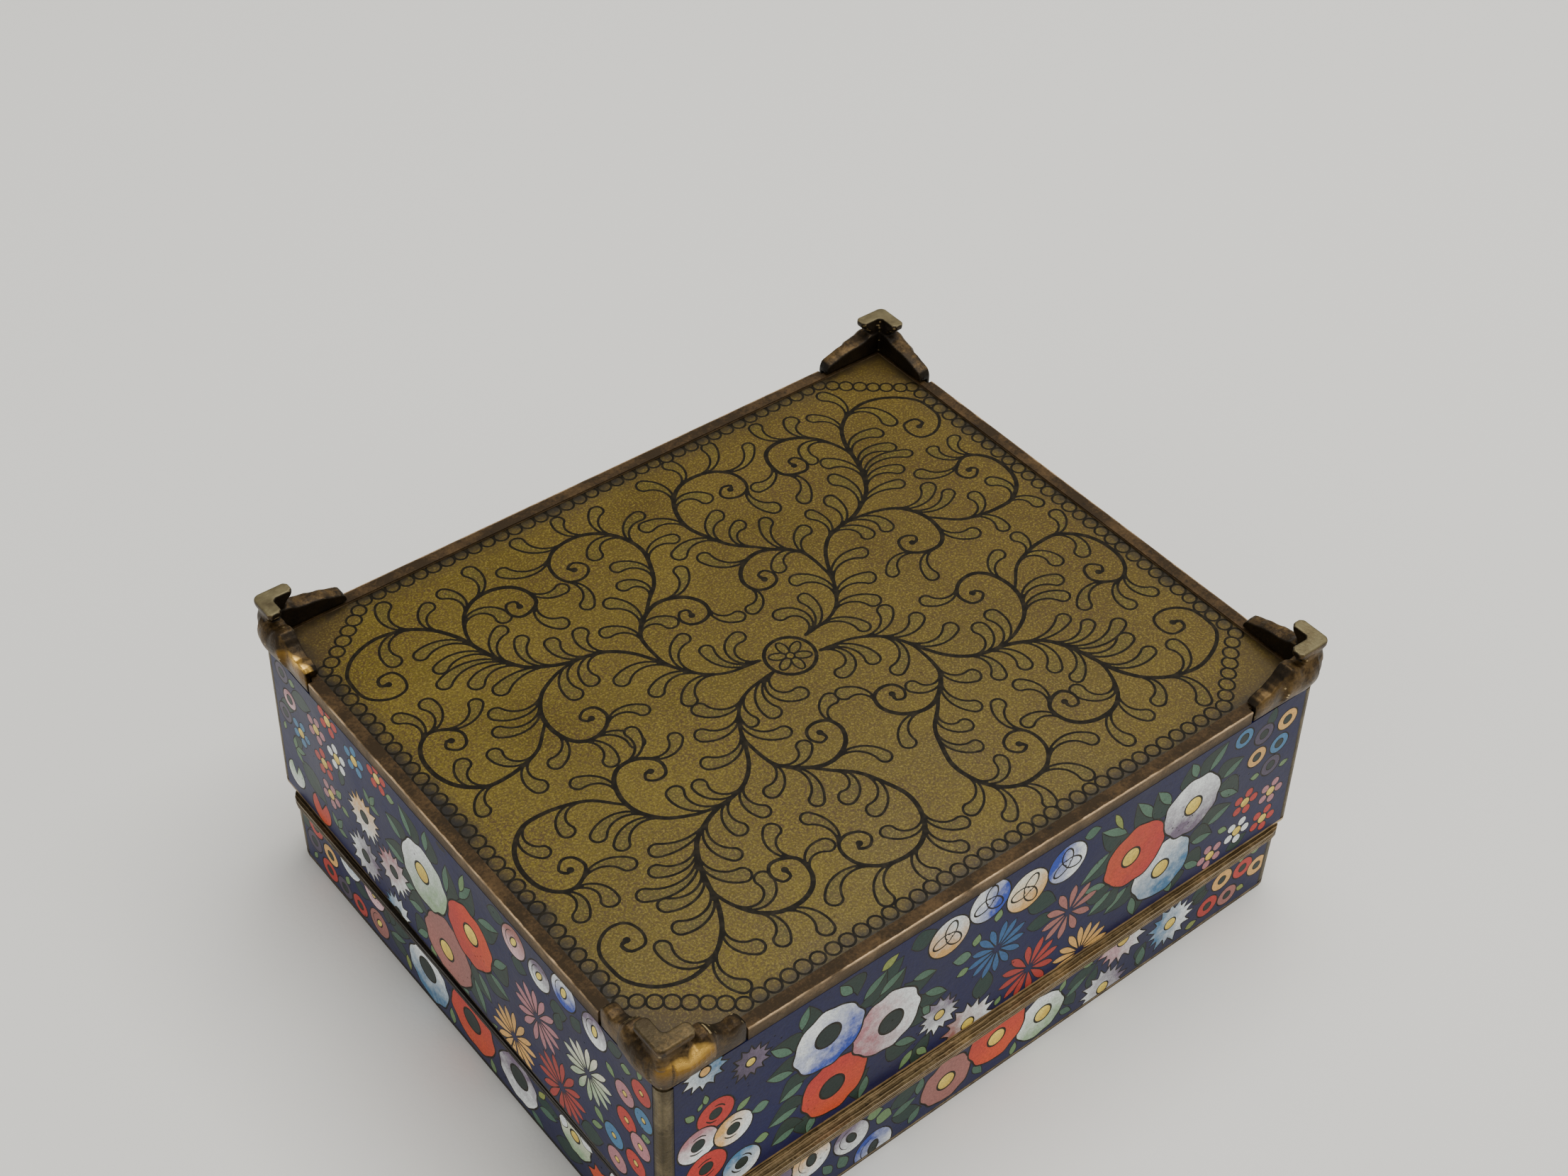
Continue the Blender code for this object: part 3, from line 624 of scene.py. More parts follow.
# The lid's short side, in the same way
LID_SIDE = (
    ("shadow leaf", (-17.6, 8.8, 4.8, 2.4, 15), (-18.0, 4.6, 4.6, 2.2, -20), (-27.6, 7.4, 3.2, 2.2, 0),
     (18.4, 7.4, 4.4, 2.2, 10), (23.0, 3.2, 5.0, 3.0, 10), (-42.6, 9.0, 3.0, 2.0, 30),
     (-19.8, 9.4, 3.0, 2.2, 70), (36.0, 3.0, 4.6, 2.6, 20)),
    ("bud", (-18.2, 6.3, 4.6, 1.5, 22, "light leaf 2"), (18.4, 5.9, 4.4, 1.7, 17, "light leaf 2"),
     (15.6, 1.5, 3.6, 1.6, -30, "light leaf 2"), (-21.0, 8.4, 2.8, 1.8, 100, "dark leaf 2")),
    ("ring", (-39.9, 9.9, 2.0, "red", 0.36), (-36.3, 7.1, 2.0, "tan", 0.38),
     (-41.0, 6.0, 2.0, "grey purple", 0.4), (-37.3, 3.0, 2.1, "red", 0.36),
     (-33.2, 2.9, 2.0, "grey purple", 0.4), (-29.0, 3.0, 2.0, "red", 0.36)),
    ("slit", (-30.5, 10.5, 2.9, "light blue", "white", -90, 20),
     (-24.0, 10.3, 2.9, "pink", "pale pink", -90, 70),
     (-23.6, 4.2, 2.65, "dusty pink", "dusty pink", -90, 55)),
    ("bud", (-31.9, 5.8, 2.4, 1.3, 70), (-41.4, 2.6, 2.2, 1.0, 60), (-35.0, 10.2, 2.0, 1.2, 10),
     (-16.0, 3.0, 3.2, 1.3, -80, "yellow green"), (-4.9, 2.6, 3.4, 1.5, 95, "sage"),
     (5.0, 1.8, 3.0, 1.4, 105, "sage"), (17.2, 8.8, 2.6, 1.3, 50, "yellow green")),
    ("bloom", (11.5, 5.9, 4.5, "lavender", "white", -80, 11.7, 6.7, 1.8, "dark centre"),
     (-10.4, 5.8, 5.0, "white", "light blue", -85, -10.6, 6.9, 1.85, "dark centre"),
     (0.7, 6.9, 5.3, "red", "orange", -75, 0.5, 7.1, 1.85, "dark centre")),
    ("aster", (30.6, 4.4, 3.6, "orange", "orange", 0, "yellow", 7)),
    ("bloom", (24.7, 7.9, 3.5, "warm white", "pale green", -80, 24.6, 8.2, 0.85, "yellow")),
    ("bud", (22.1, 8.9, 2.9, 1.9, 80, "white"), (27.2, 9.4, 2.9, 2.2, -15, "white")),
    ("ring", (34.8, 8.4, 2.6, "white", 0.3), (39.2, 7.8, 2.0, "red", 0.34), (36.8, 3.4, 2.0, "tan", 0.34),
     (41.0, 3.6, 2.0, "pink", 0.34)),
)

# The plain layouts of the sides that the photograph doesn't show leave out these motifs.
PLAIN_WITHOUT = ("crack", "shadow leaf", "trio")

# Scrolls of the underside, one quarter, out from the middle: stem points, then its leaves' tips
SCROLLS = (
    (((3.7, 1.3), (8.5, 2.0), (11.5, 3.8), (13.8, 7), (15.2, 10), (17, 13), (19.5, 15.2), (22.5, 16.2),
      (24.5, 16.5), (27, 17.5), (30, 19.5), (32, 23), (33, 26), (33.8, 29), (35, 31.5), (36.5, 33.5),
      (39, 35.3), (43, 36.2), (47, 35), (49.5, 32.5), (50, 30), (49.8, 27.5), (48.5, 25.8), (46.5, 25),
      (44.5, 25.5), (43.8, 27.5), (44.5, 29.3), (46.5, 29.3), (47, 28), (46, 27.6)),
     ((3.5, 6.7), (8.5, 7.2), (16, 1), (18.5, 5), (21, 9.5), (24.3, 12), (27.5, 11.2), (9.7, 11),
      (20.3, 20.3), (24.5, 21), (27.5, 24), (28.7, 27.3), (34.8, 17.8, 27.6, 17.8), (36.8, 20.7),
      (39, 26), (39.7, 29.8), (43.2, 31, 38.6, 35.2), (34.2, 37.3), (39, 41), (40.2, 23.2))),
    (((24, 16.3), (26, 16.1), (28, 15.5), (31, 13.8), (33, 11), (33.6, 8), (33, 5), (31.5, 3.3),
      (29.5, 3), (27.5, 3.8), (26.3, 5.5), (26.8, 7.5), (28.3, 7.9), (29.5, 7), (29, 6), (28.3, 6.1)),
     ((37.8, 14.3), (39.3, 11.3), (36.5, 2.3), (26, -1), (22, 3.3))),
    (((33.2, 9.5), (34.5, 8.2), (37, 5.7), (40, 4.5), (43, 4), (46, 4.3), (48.7, 6.5), (50, 9.5),
      (50, 13), (48.8, 15.5), (46.8, 16.7), (44.8, 16), (43.3, 14.3), (43.8, 12.3), (45.2, 11.8),
      (46.4, 13), (45.8, 14), (45.2, 13.8)),
     ((42, 8.3), (46.3, 9.3, 45.4, 4.2), (44, 21.3), (48.2, 21.3), (39, 17.5))),
    (((33, 26), (33.2, 28), (32.5, 30.5), (31, 33), (28.5, 34.7), (25.5, 35), (23, 34), (21.6, 32),
      (21.5, 29.5), (23, 28.2), (25, 28), (26, 29.5), (25.3, 31.2), (24, 31), (24, 29.8)),
     ((31, 38.3), (25.7, 40), (27, 29.3, 32.4, 30.7), (21.3, 23.6), (17.3, 29.3))),
    (((13.8, 7), (14.5, 9), (14.6, 11), (14.5, 13), (14, 15), (12, 17.2), (9.5, 18.7), (7, 18.8),
      (4.5, 17.5), (3.2, 15.2), (3.7, 13), (5.5, 12.2), (7.2, 12.7), (7.8, 14.2), (7, 15.5), (5.8, 15.2),
      (6, 14)),
     ((13.5, 22.7), (17.3, 18.3), (9.2, 14.7), (1.8, 22.3), (1, 10))),
    (((14.3, 14.5), (13, 16.5), (11, 18), (9, 20), (6.3, 22.5), (4.5, 26), (3.6, 29), (4, 32),
      (5.5, 34.8), (8, 36.7), (11, 37.2), (14, 36.5), (16, 34.5), (16.5, 32), (15.8, 30), (14, 29.3),
      (12.3, 30), (11.8, 31.5), (13, 32.8), (14.3, 32.3), (13.7, 31.5)),
     ((10, 24.6, 8.4, 20.6), (8.5, 28.3), (9.6, 32.3, 4.1, 32.6), (4, 40), (9.8, 41.5), (17, 41),
      (22, 37), (16.3, 24.5))),
)

# Leaves that cross an axis differ from quarter to quarter: stem number, then the tips
CROSSING_LEAVES = {
    (-1, 1): ((5, (-0.2, 35.5)), (5, (-1.3, 28.5)), (1, (30.6, -1.7)), (2, (40.5, 0.2)), (2, (48.5, 1.0))),
    (1, 1): ((5, (-1.0, 32.5)), (5, (-0.7, 25.0)), (0, (11.5, -2.3)), (2, (40.8, 0.6)), (2, (48.4, 1.6))),
    (-1, -1): ((5, (1.2, 37.0)), (5, (1.5, 21.0)), (0, (11.8, 6.8)), (2, (36.5, -0.8)), (1, (21.0, -2.6))),
    (1, -1): ((5, (0.6, 36.2)), (5, (1.0, 22.6)), (1, (25.2, 0.6)), (2, (41.2, 1.2)), (2, (49.0, 1.0))),
}

# Where each quarter's scrolls stray from the first one's: a place, then how far out it is moved
STRAYS = {
    (-1, 1): (
        (49.8, 30, 0.4, 0.0), (25, 30, 0.0, 0.0), (5, 15, 0.0, 0.0), (46, 11, 0.0, 0.0),
        (14, 7, 0.0, 0.0),
    ),
    (1, 1): (
        (13, 33, 0.8, 0.4), (14, 30, 0.8, 1.0), (25, 35, 0.4, 1.6), (24.5, 30, 1.5, 1.1),
        (45.5, 27.5, 0.4, -0.9), (50, 30, 0.8, -0.4), (43, 36, 0.3, 0.1), (46, 15.5, 0.5, 0.5),
        (46, 11, 0.4, 1.2), (44, 4.5, 0.4, 1.5), (29, 8, 0.1, 1.0), (29, 3.2, 0.0, 1.4),
        (6, 15, 0.6, -0.2), (14, 7, 0.0, 0.0), (24, 16.5, 0.0, 0.0), (5, 29, 0.9, 0.2),
    ),
    (-1, -1): (
        (47, 25, 0.0, -0.9), (44.5, 28, 0.0, -0.6), (44, 36, 0.0, 0.0), (46, 11, 0.0, 0.0),
        (25, 30, 0.0, 0.0), (12.5, 29, 0.2, 0.7), (14, 37, 0.0, 0.0), (28, 6, -0.7, 0.2),
        (31, 12, 0.0, 0.0), (6, 15, -0.2, 0.1), (14, 7, 0.0, 0.3),
    ),
    (1, -1): (
        (50, 30, 0.7, -0.3), (44, 36, 0.2, -0.6), (46, 11, 0.3, -0.3), (32, 30, -0.4, -0.3),
        (26, 35, 0.0, -0.5), (5, 29, 0.8, 0.1), (13, 32, 0.1, 0.0), (28, 6, -0.1, -0.1),
        (5, 15, 0.4, 0.4), (8, 2.5, 0.0, 0.8), (14, 8, 0.2, 0.2), (22, 16, 0.0, 0.0),
    ),
}
STRAY_REACH = 2.0
STEM_WIDTH = 0.64
STEM_SPACING = 0.4
LEAF_ANGLE = 50.0
ANGLE_SLACK = 14
LEAF_REACH = 4.7
REACH_SLACK = 2.6
LEAST_LEAF = 2.0
LEAF_STEPS = 12
STRAIGHT = 0.05
LEAF_ROOT = 0.10
LEAF_TAPER = 1.30
BULB = 1.10
LEAFY_SHARE = 0.84
LEAF_OPENING = 0.12
LEAF_CLEAR = 1.3
STEM_NEAR = 0.6
CROWD_GAP = 1.7
CURL_KNOB = 0.50
CURL_SWELL = 0.34
CURL_SHARE = 0.04
BEAD_RADIUS = 1.06
BEAD_PITCH = 2.24
BEAD_ROWS = (43.8, -43.0)
BEAD_CUT = ((40.5, 43.8), (51.9, 34.5))
BEAD_SWAY = 0.06
CORNER_REACH = 3.0
ROUNDEL_AT = (0.0, -0.44)
ROUNDEL_RADIUS = 3.6
ROUNDEL_WIRE = SCROLL_WIRE * 0.8
ROUNDEL_EYE = 0.62
PETAL_REACH = 1.75
PETAL_SIZE = (1.25, 0.68)
SCROLL_SEED = 41


def stem_between(stem, here, goal):
    """Whether the stem passes between a leaf's root and its tip."""
    chord = goal - here
    for point in stem:
        offset = Vector(point) - here
        share = offset.dot(chord) / chord.length_squared
        if offset.length > LEAF_CLEAR and 0 < share < 1.1 and (offset - chord * share).length < STEM_NEAR:
            return True
    return False


def leaf_spine(stem, tip):
    """An arc that leaves the stem along it and ends at the leaf's tip. A tip may name its root too."""
    goal = Vector(tip[:2])
    roots = []
    for i in range(1, round(len(stem) * LEAFY_SHARE)):
        here = Vector(stem[i])
        way = (Vector(stem[i + 1]) - Vector(stem[i - 1])).normalized()
        chord = goal - here
        if chord.length < LEAST_LEAF:
            continue
        turn = way.angle_signed(chord)
        cost = abs(abs(math.degrees(turn)) - LEAF_ANGLE) / ANGLE_SLACK
        cost += abs(chord.length - LEAF_REACH) / REACH_SLACK
        if len(tip) > 2:
            cost = (here - Vector(tip[2:])).length
        roots.append((cost, i, here, way, chord, -turn))
    roots.sort(key=lambda item: item[:2])
    free = [item for item in roots if not stem_between(stem, item[2], goal)]
    here, way, chord, turn = (free or roots)[0][2:]
    if abs(turn) < STRAIGHT:
        return [tuple(here + chord * step / LEAF_STEPS) for step in range(LEAF_STEPS + 1)]
    radius = chord.length / (2 * math.sin(abs(turn)))
    side = Vector((-way.y, way.x)) * (1 if turn > 0 else -1)
    centre = here + side * radius
    spine = []
    for step in range(LEAF_STEPS + 1):
        angle = 2 * abs(turn) * step / LEAF_STEPS
        spine.append(tuple(centre - side * radius * math.cos(angle) + way * radius * math.sin(angle)))
    return spine


def leaf_outline(spine, widths):
    """A band along the spine with a round end."""
    body = ribbon(spine, widths)
    half = len(body) // 2
    way = (Vector(spine[-1]) - Vector(spine[-2])).normalized()
    start = math.degrees(math.atan2(way.y, way.x)) - 90
    bulb = widths[-1] / 2
    cap = arc_points(spine[-1], bulb, bulb, 0, start, start + 180, 10)
    return body[:half] + cap[1:-1] + body[half:]


def scroll_leaf(painting, stem, tip, mirror, draw):
    """A leaf in its wire. Its enamel starts where the two wires part."""
    spine = leaf_spine(stem, tip)
    bulb = BULB * draw.uniform(0.9, 1.08)
    last = len(spine) - 1
    widths = [2 * (LEAF_ROOT + (bulb - LEAF_ROOT) * (i / last) ** LEAF_TAPER) for i in range(last + 1)]
    outline = leaf_outline(spine, [width + SCROLL_WIRE for width in widths])
    painting.lay([mirror(point) for point in outline], SCROLL_WIRE_FILL)
    first = next(i for i, width in enumerate(widths) if width > SCROLL_WIRE + LEAF_OPENING)
    outline = leaf_outline(spine[first:], [width - SCROLL_WIRE for width in widths[first:]])
    look = fill("scroll leaf", "scroll leaf 2", mirror(spine[-1]), draw.uniform(0, 360), 1.5)
    painting.lay([mirror(point) for point in outline], look)


def scroll_stem(painting, stem, mirror):
    """A stem that swells in the middle and ends in a knob."""
    last = len(stem) - 1
    widths = []
    for i in range(last + 1):
        share = i / last
        curl = CURL_SWELL * max(0.0, 1 - (1 - share) / CURL_SHARE)
        widths.append(STEM_WIDTH * (0.66 + 0.42 * math.sin(math.pi * min(share * 1.1, 1.0)) + curl))
    painting.lay(ribbon([mirror(point) for point in stem], widths), SCROLL_WIRE_FILL)
    painting.lay(arc_points(mirror(stem[-1]), CURL_KNOB, CURL_KNOB, count=12), SCROLL_WIRE_FILL)


def strayed(point, strays):
    """The place moved as the places near it are."""
    total = shift_x = shift_y = 0.0
    for x, y, move_x, move_y in strays:
        weight = 1 / (STRAY_REACH ** 2 + (point[0] - x) ** 2 + (point[1] - y) ** 2) ** 1.5
        total += weight
        shift_x += weight * move_x
        shift_y += weight * move_y
    return (point[0] + shift_x / total, point[1] + shift_y / total)


def beads(painting, draw):
    """The border of touching beads, cut across the corners."""
    places = []
    top, bottom = BEAD_ROWS
    (cut_x, cut_row), (cut_column, cut_y) = BEAD_CUT
    across = round(2 * cut_x / BEAD_PITCH)
    for i in range(across + 1):
        x = -cut_x + 2 * cut_x * i / across
        places += [(x, top), (x, bottom)]
    down = round(2 * cut_y / BEAD_PITCH)
    for i in range(down + 1):
        y = -cut_y + 2 * cut_y * i / down + (top + bottom) / 2
        places += [(-cut_column, y), (cut_column, y)]
    steps = round(math.dist(*BEAD_CUT) / BEAD_PITCH)
    for i in range(1, steps):
        share = i / steps
        x = cut_x + (cut_column - cut_x) * share
        y = cut_row + (cut_y - cut_row) * share
        for sign in (-1, 1):
            places += [(sign * x, y), (sign * x, top + bottom - y)]
    for x, y in places:
        radius = BEAD_RADIUS * draw.uniform(0.94, 1.05)
        spot = (x + draw.uniform(-BEAD_SWAY, BEAD_SWAY), y + draw.uniform(-BEAD_SWAY, BEAD_SWAY))
        outline = arc_points(spot, radius, radius * draw.uniform(0.95, 1.05), count=18)
        look = fill("scroll leaf", "scroll ground 2", spot, draw.uniform(0, 360), 1.2)
        painting.cell(outline, look, SCROLL_WIRE * 0.9, SCROLL_WIRE_FILL)


def roundel(painting):
    """A plain rosette of six petals in the middle."""
    outline = arc_points(ROUNDEL_AT, ROUNDEL_RADIUS, ROUNDEL_RADIUS, count=40)
    look = fill("scroll ground 2", "scroll ground", ROUNDEL_AT, 60, 3.0)
    painting.cell(outline, look, SCROLL_WIRE * 1.5, SCROLL_WIRE_FILL)
    for petal in range(6):
        turn = 60 * petal + 30
        place = polar(ROUNDEL_AT, PETAL_REACH, math.radians(turn))
        look = fill("scroll leaf", "scroll leaf 2", place, 40, 1.2)
        outline = arc_points(place, *PETAL_SIZE, turn, count=20)
        painting.cell(outline, look, ROUNDEL_WIRE, SCROLL_WIRE_FILL)
    outline = arc_points(ROUNDEL_AT, ROUNDEL_EYE, ROUNDEL_EYE, count=16)
    painting.cell(outline, fill("scroll ground"), ROUNDEL_WIRE, SCROLL_WIRE_FILL)


def paint_underside(painting):
    """The scrolls in each quarter, the border of beads and the roundel."""
    draw = random.Random(SCROLL_SEED)
    (cut_x, cut_row), (cut_column, cut_y) = BEAD_CUT
    corner_x, corner_y = cut_column + CORNER_REACH, cut_row + CORNER_REACH
    corner = (*BEAD_CUT, (corner_x, cut_y), (corner_x, corner_y), (cut_x, corner_y))
    middle = sum(BEAD_ROWS) / 2
    for sign_x, sign_y in CROSSING_LEAVES:
        outline = [(sign_x * x, middle + sign_y * (y - middle)) for x, y in corner]
        painting.lay(outline, fill("scroll corner", "scroll ground 2", outline[0], 45, 6.0))
    stems = [curve_through(points, STEM_SPACING) for points, _ in SCROLLS]
    taken = []
    for (sign_x, sign_y), crossing in CROSSING_LEAVES.items():

        def mirror(point, sign_x=sign_x, sign_y=sign_y):
            moved = strayed(point, STRAYS[sign_x, sign_y])
            return (sign_x * moved[0], sign_y * moved[1])

        for number, (_, tips) in enumerate(SCROLLS):
            own = tuple(tip for stem_number, tip in crossing if stem_number == number)
            for tip in tips + own:
                place = mirror(tip[:2])
                if all(math.dist(place, other) > CROWD_GAP for other in taken):
                    taken.append(place)
                    scroll_leaf(painting, stems[number], tip, mirror, draw)
        for stem in stems:
            scroll_stem(painting, stem, mirror)
    beads(painting, draw)
    roundel(painting)


def paint(painting, layout, hidden):
    """Lays a layout's motifs, or its plainer mirror image on a side that isn't seen."""
    plane = painting
    if hidden:
        plane = Painting(painting.shapes[0], painting.fills[0], painting.level, painting.down)
    for kind, *rows in layout:
        if hidden and kind in PLAIN_WITHOUT:
            continue
        for row in rows:
            MOTIFS[kind](plane, *row)
    if hidden:
        for outline, look in zip(plane.shapes[1:], plane.fills[1:]):
            flipped = look._replace(axis=(-look.axis[0], look.axis[1]))
            painting.lay([(-x, y) for x, y in outline][::-1], flipped)


def finish_piece(mesh, name, materials):
    """Makes an object of a mesh."""
    bmesh.ops.recalc_face_normals(mesh, faces=mesh.faces)
    data = bpy.data.meshes.new(name)
    mesh.to_mesh(data)
    mesh.free()
    for material in materials:
        data.materials.append(material)
    piece = bpy.data.objects.new(name, data)
    bpy.context.scene.collection.objects.link(piece)
    return piece


def slab(name, painting, place, into, materials):
    """Cuts the painting into cells and builds the slab. place turns millimetres into a point."""
    points, outlines = [], []
    for shape in painting.shapes:
        outlines.append(list(range(len(points), len(points) + len(shape))))
        points.extend(Vector(point) for point in shape)
    found = delaunay_2d_cdt(points, [], outlines, 1, CELL_GRAIN, True)
    vertices, triangles, owners = found[0], found[2], found[5]
    mesh = bmesh.new()
    tone_a = mesh.faces.layers.float_color.new("tone_a")
    tone_b = mesh.faces.layers.float_color.new("tone_b")
    axis = mesh.faces.layers.float_vector.new("blend_axis")
    shift = mesh.faces.layers.float.new("blend_shift")
    origin = place(0.0, 0.0)
    along = (place(1.0, 0.0) - origin) / MM ** 2
    across = (place(0.0, 1.0) - origin) / MM ** 2
    corners = {}
    for triangle, owner in zip(triangles, owners):
        if 0 not in owner:
            continue
        for i in triangle:
            if i not in corners:
                corners[i] = mesh.verts.new(place(*vertices[i]))
        ends = [corners[i] for i in triangle]
        if mesh.faces.get(ends):
            continue
        look = painting.fills[max(owner)]
        face = mesh.faces.new(ends)
        face.material_index = look.slot
        face[tone_a] = (*look.tone_a, 1.0)
        face[tone_b] = (*look.tone_b, 1.0)
        way = along * look.axis[0] + across * look.axis[1]
        face[axis] = way
        face[shift] = look.shift - way.dot(origin)
    rim = [edge for edge in mesh.edges if edge.is_boundary]
    pushed = bmesh.ops.extrude_edge_only(mesh, edges=rim)["geom"]
    for vertex in pushed:
        if isinstance(vertex, bmesh.types.BMVert):
            vertex.co += into
    back = [edge for edge in pushed if isinstance(edge, bmesh.types.BMEdge) and edge.is_boundary]
    bmesh.ops.edgeloop_fill(mesh, edges=back)
    ground = painting.fills[0]
    for face in mesh.faces:
        if tuple(face[tone_a])[:3] == (0.0, 0.0, 0.0):
            face[tone_a] = (*ground.tone_a, 1.0)
            face[tone_b] = (*ground.tone_b, 1.0)
    piece = finish_piece(mesh, name, materials)
    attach(piece, "root")


class Value:
    """A node's output. Reckoning with it adds maths nodes to the tree."""

    def __init__(self, look, socket):
        self.look = look
        self.socket = socket

    def maths(self, operation, second=0.0, first=None):
        first = self if first is None else first
        return self.look.node("ShaderNodeMath", {0: first, 1: second}, operation=operation)

    def __add__(self, other):
        return self.maths("ADD", other)

    def __sub__(self, other):
        return self.maths("SUBTRACT", other)

    def __rsub__(self, other):
        return self.maths("SUBTRACT", self, other)

    def __mul__(self, other):
        return self.maths("MULTIPLY", other)

    def __abs__(self):
        return self.maths("ABSOLUTE")

    def remap(self, low, high, to_low=0.0, to_high=1.0):
        inputs = {"Value": self, "From Min": low, "From Max": high, "To Min": to_low, "To Max": to_high}
        return self.look.node("ShaderNodeMapRange", inputs)

    def parts(self):
        """The three parts of a vector."""
        made = self.look.node("ShaderNodeSeparateXYZ", {0: self})
        return [Value(self.look, socket) for socket in made.socket.node.outputs]


class Look:
    """A material in the making."""

    def __init__(self, name):
        self.material = bpy.data.materials.new(name)
        self.material.use_nodes = True
        self.tree = self.material.node_tree
        self.shader = self.tree.nodes["Principled BSDF"]
        self.place = self.node("ShaderNodeTexCoord", output="Object")

    def set(self, socket, value):
        """Joins a socket to a node's output or gives it a number, vector or colour."""
        if isinstance(value, Value):
            self.tree.links.new(value.socket, socket)
        elif isinstance(value, tuple) and len(socket.default_value) > len(value):
            socket.default_value = (*value, 1.0)
        else:
            socket.default_value = value

    def node(self, kind, inputs=None, output=0, **settings):
        """A node with its settings and inputs, as one of its outputs."""
        made = self.tree.nodes.new(kind)
        for key, value in settings.items():
            setattr(made, key, value)
        for key, value in (inputs or {}).items():
            self.set(made.inputs[key], value)
        return Value(self, made.outputs[output])

    def noise(self, scale, detail=3.0, roughness=0.55, place=None):
        inputs = {"Vector": place or self.place, "Scale": scale, "Detail": detail, "Roughness": roughness}
        return self.node("ShaderNodeTexNoise", inputs)

    def attribute(self, name, output):
        return self.node("ShaderNodeAttribute", output=output, attribute_name=name)

    def mixed(self, factor, first, second, mode="MIX"):
        inputs = {0: factor, 6: first, 7: second}
        return self.node("ShaderNodeMix", inputs, 2, data_type="RGBA", blend_type=mode)

    def finished(self, colour, rough, shine, relief, depth, metal=0.0, strength=BUMP_STRENGTH):
        """Feeds the shader and returns the material. shine is the specular level."""
        bump = self.node("ShaderNodeBump", {"Height": relief, "Distance": depth, "Strength": strength})
        values = {"Base Color": colour, "Roughness": rough, "Metallic": metal, "Normal": bump}
        for name, value in values.items():
            self.set(self.shader.inputs[name], value)
        self.shader.inputs["Specular IOR Level"].default_value = shine
        return self.material


def enamel_material(name, plain=None, stain=None, shine=ENAMEL_SHINE):
    """Fired enamel: clouded colour, fine grain, pits and a worn gloss. stain is laid over the colour, and
    for the underside it brings painted shade as well.
    """
    look = Look(name)
    cloud = look.noise(620.0, 4.0, 0.6)
    grain = look.noise(3600.0, 2.0, 0.6)
    broad = look.noise(70.0, 3.0, 0.5)
    if plain:
        colour = look.mixed(cloud, linear(plain[0]), linear(plain[1]))
    else:
        axes = {0: look.place, 1: look.attribute("blend_axis", "Vector")}
        along = look.node("ShaderNodeVectorMath", axes, "Value", operation="DOT_PRODUCT")
        share = along + look.attribute("blend_shift", "Fac") + cloud.remap(0.3, 0.7, -0.27, 0.27)
        tones = [look.attribute(tone, "Color") for tone in ("tone_a", "tone_b")]
        colour = look.mixed(share.remap(0.0, 1.0), *tones)
    worn = broad.remap(0.3, 0.7, 0.82, 1.12) * grain.remap(0.25, 0.75, 0.72, 1.25)
    brightness = look.node("ShaderNodeCombineColor", {0: worn, 1: worn, 2: worn})
    colour = look.mixed(1.0, colour, brightness, "MULTIPLY")
    cells = look.node("ShaderNodeTexVoronoi", {"Vector": look.place, "Scale": 900.0}, "Distance")
    pits = cells.remap(0.10, 0.18, 1.0, 0.0) * look.noise(160.0, 2.0).remap(0.56, 0.66)
    colour = look.mixed(pits * 0.75, colour, PIT_TONE)
    if stain:
        colour = stain(look, colour)
    rough = broad.remap(0.3, 0.7, 0.30, 0.44) + pits * 0.3
    return look.finished(colour, rough, shine, cloud + grain * 0.25 - pits, ENAMEL_DEPTH)


def wire_material():
    """The wires between the cells, dark with age and flush with the enamel."""
    look = Look("cell wire")
    stain = look.noise(900.0, 3.0)
    colour = look.mixed(stain.remap(0.45, 0.8, 0.0, 0.35), look.attribute("tone_a", "Color"), WIRE_STAIN)
    return look.finished(colour, stain.remap(0.3, 0.7, 0.55, 0.38), WIRE_SHINE, stain, WIRE_DEPTH)


class Block:
    """The body's or the lid's four walls, read from the frame."""

    def __init__(self, centre, half, turn, top, slope=0.0):
        self.centre = centre
        self.half = half
        self.turn = turn
        self.top = top
        self.slope = slope

    def side(self, quarter):
        """Where a millimetre place on a side lies: across it, and up from the top's level."""
        angle = self.turn + quarter * math.pi / 2
        right = Vector((math.cos(angle), math.sin(angle), 0.0))
        out = Vector((math.sin(angle), -math.cos(angle), 0.0))
        far = self.half[1 - quarter % 2]
        origin = Vector((self.centre[0], self.centre[1], self.top)) + out * (far + SLAB_PROUD)
        upward = Vector((0.0, 0.0, 1.0)) - out * self.slope
        return (lambda x, y: origin + right * x * MM + upward * y * MM), -out * SLAB_DEPTH

    def across(self, quarter):
        return self.half[quarter % 2]


def middle_of(node_name):
    """The middle and the half sizes of a node's box."""
    low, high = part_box(node_name)
    return [(a + b) / 2 for a, b in zip(low, high)], [(b - a) / 2 for a, b in zip(low, high)]


def read_body():
    """The body's walls: their size at the plane of the underside and how they spread below it."""
    centre, mouth_half = middle_of("body_mouth_rim")
    rim_half = middle_of("base_rim")[1]
    base_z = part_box("base_rim")[1][2]
    mouth_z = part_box("body_mouth_rim")[1][2] - MOUTH_RIM_HEIGHT
    slope = (mouth_half[0] - rim_half[0]) / (base_z - BASE_RIM_DEPTH - mouth_z)
    half = [size - slope * (base_z - mouth_z) for size in mouth_half[:2]]
    return Block(centre, half, 0.0, base_z, slope), mouth_z


def read_lid():
    """The lid's walls, from the box round the turned lid."""
    centre, reach = middle_of("lid")
    cosine, sine = math.cos(LID_TURN), math.sin(LID_TURN)
    radius = LID_CORNER_RADIUS
    x, y = reach[0] - radius, reach[1] - radius
    spread = cosine ** 2 - sine ** 2
    half = [(x * cosine - y * sine) / spread + radius, (y * cosine - x * sine) / spread + radius]
    return Block(centre, half, LID_TURN, 0.0)


BODY, MOUTH_Z = read_body()
LID = read_lid()


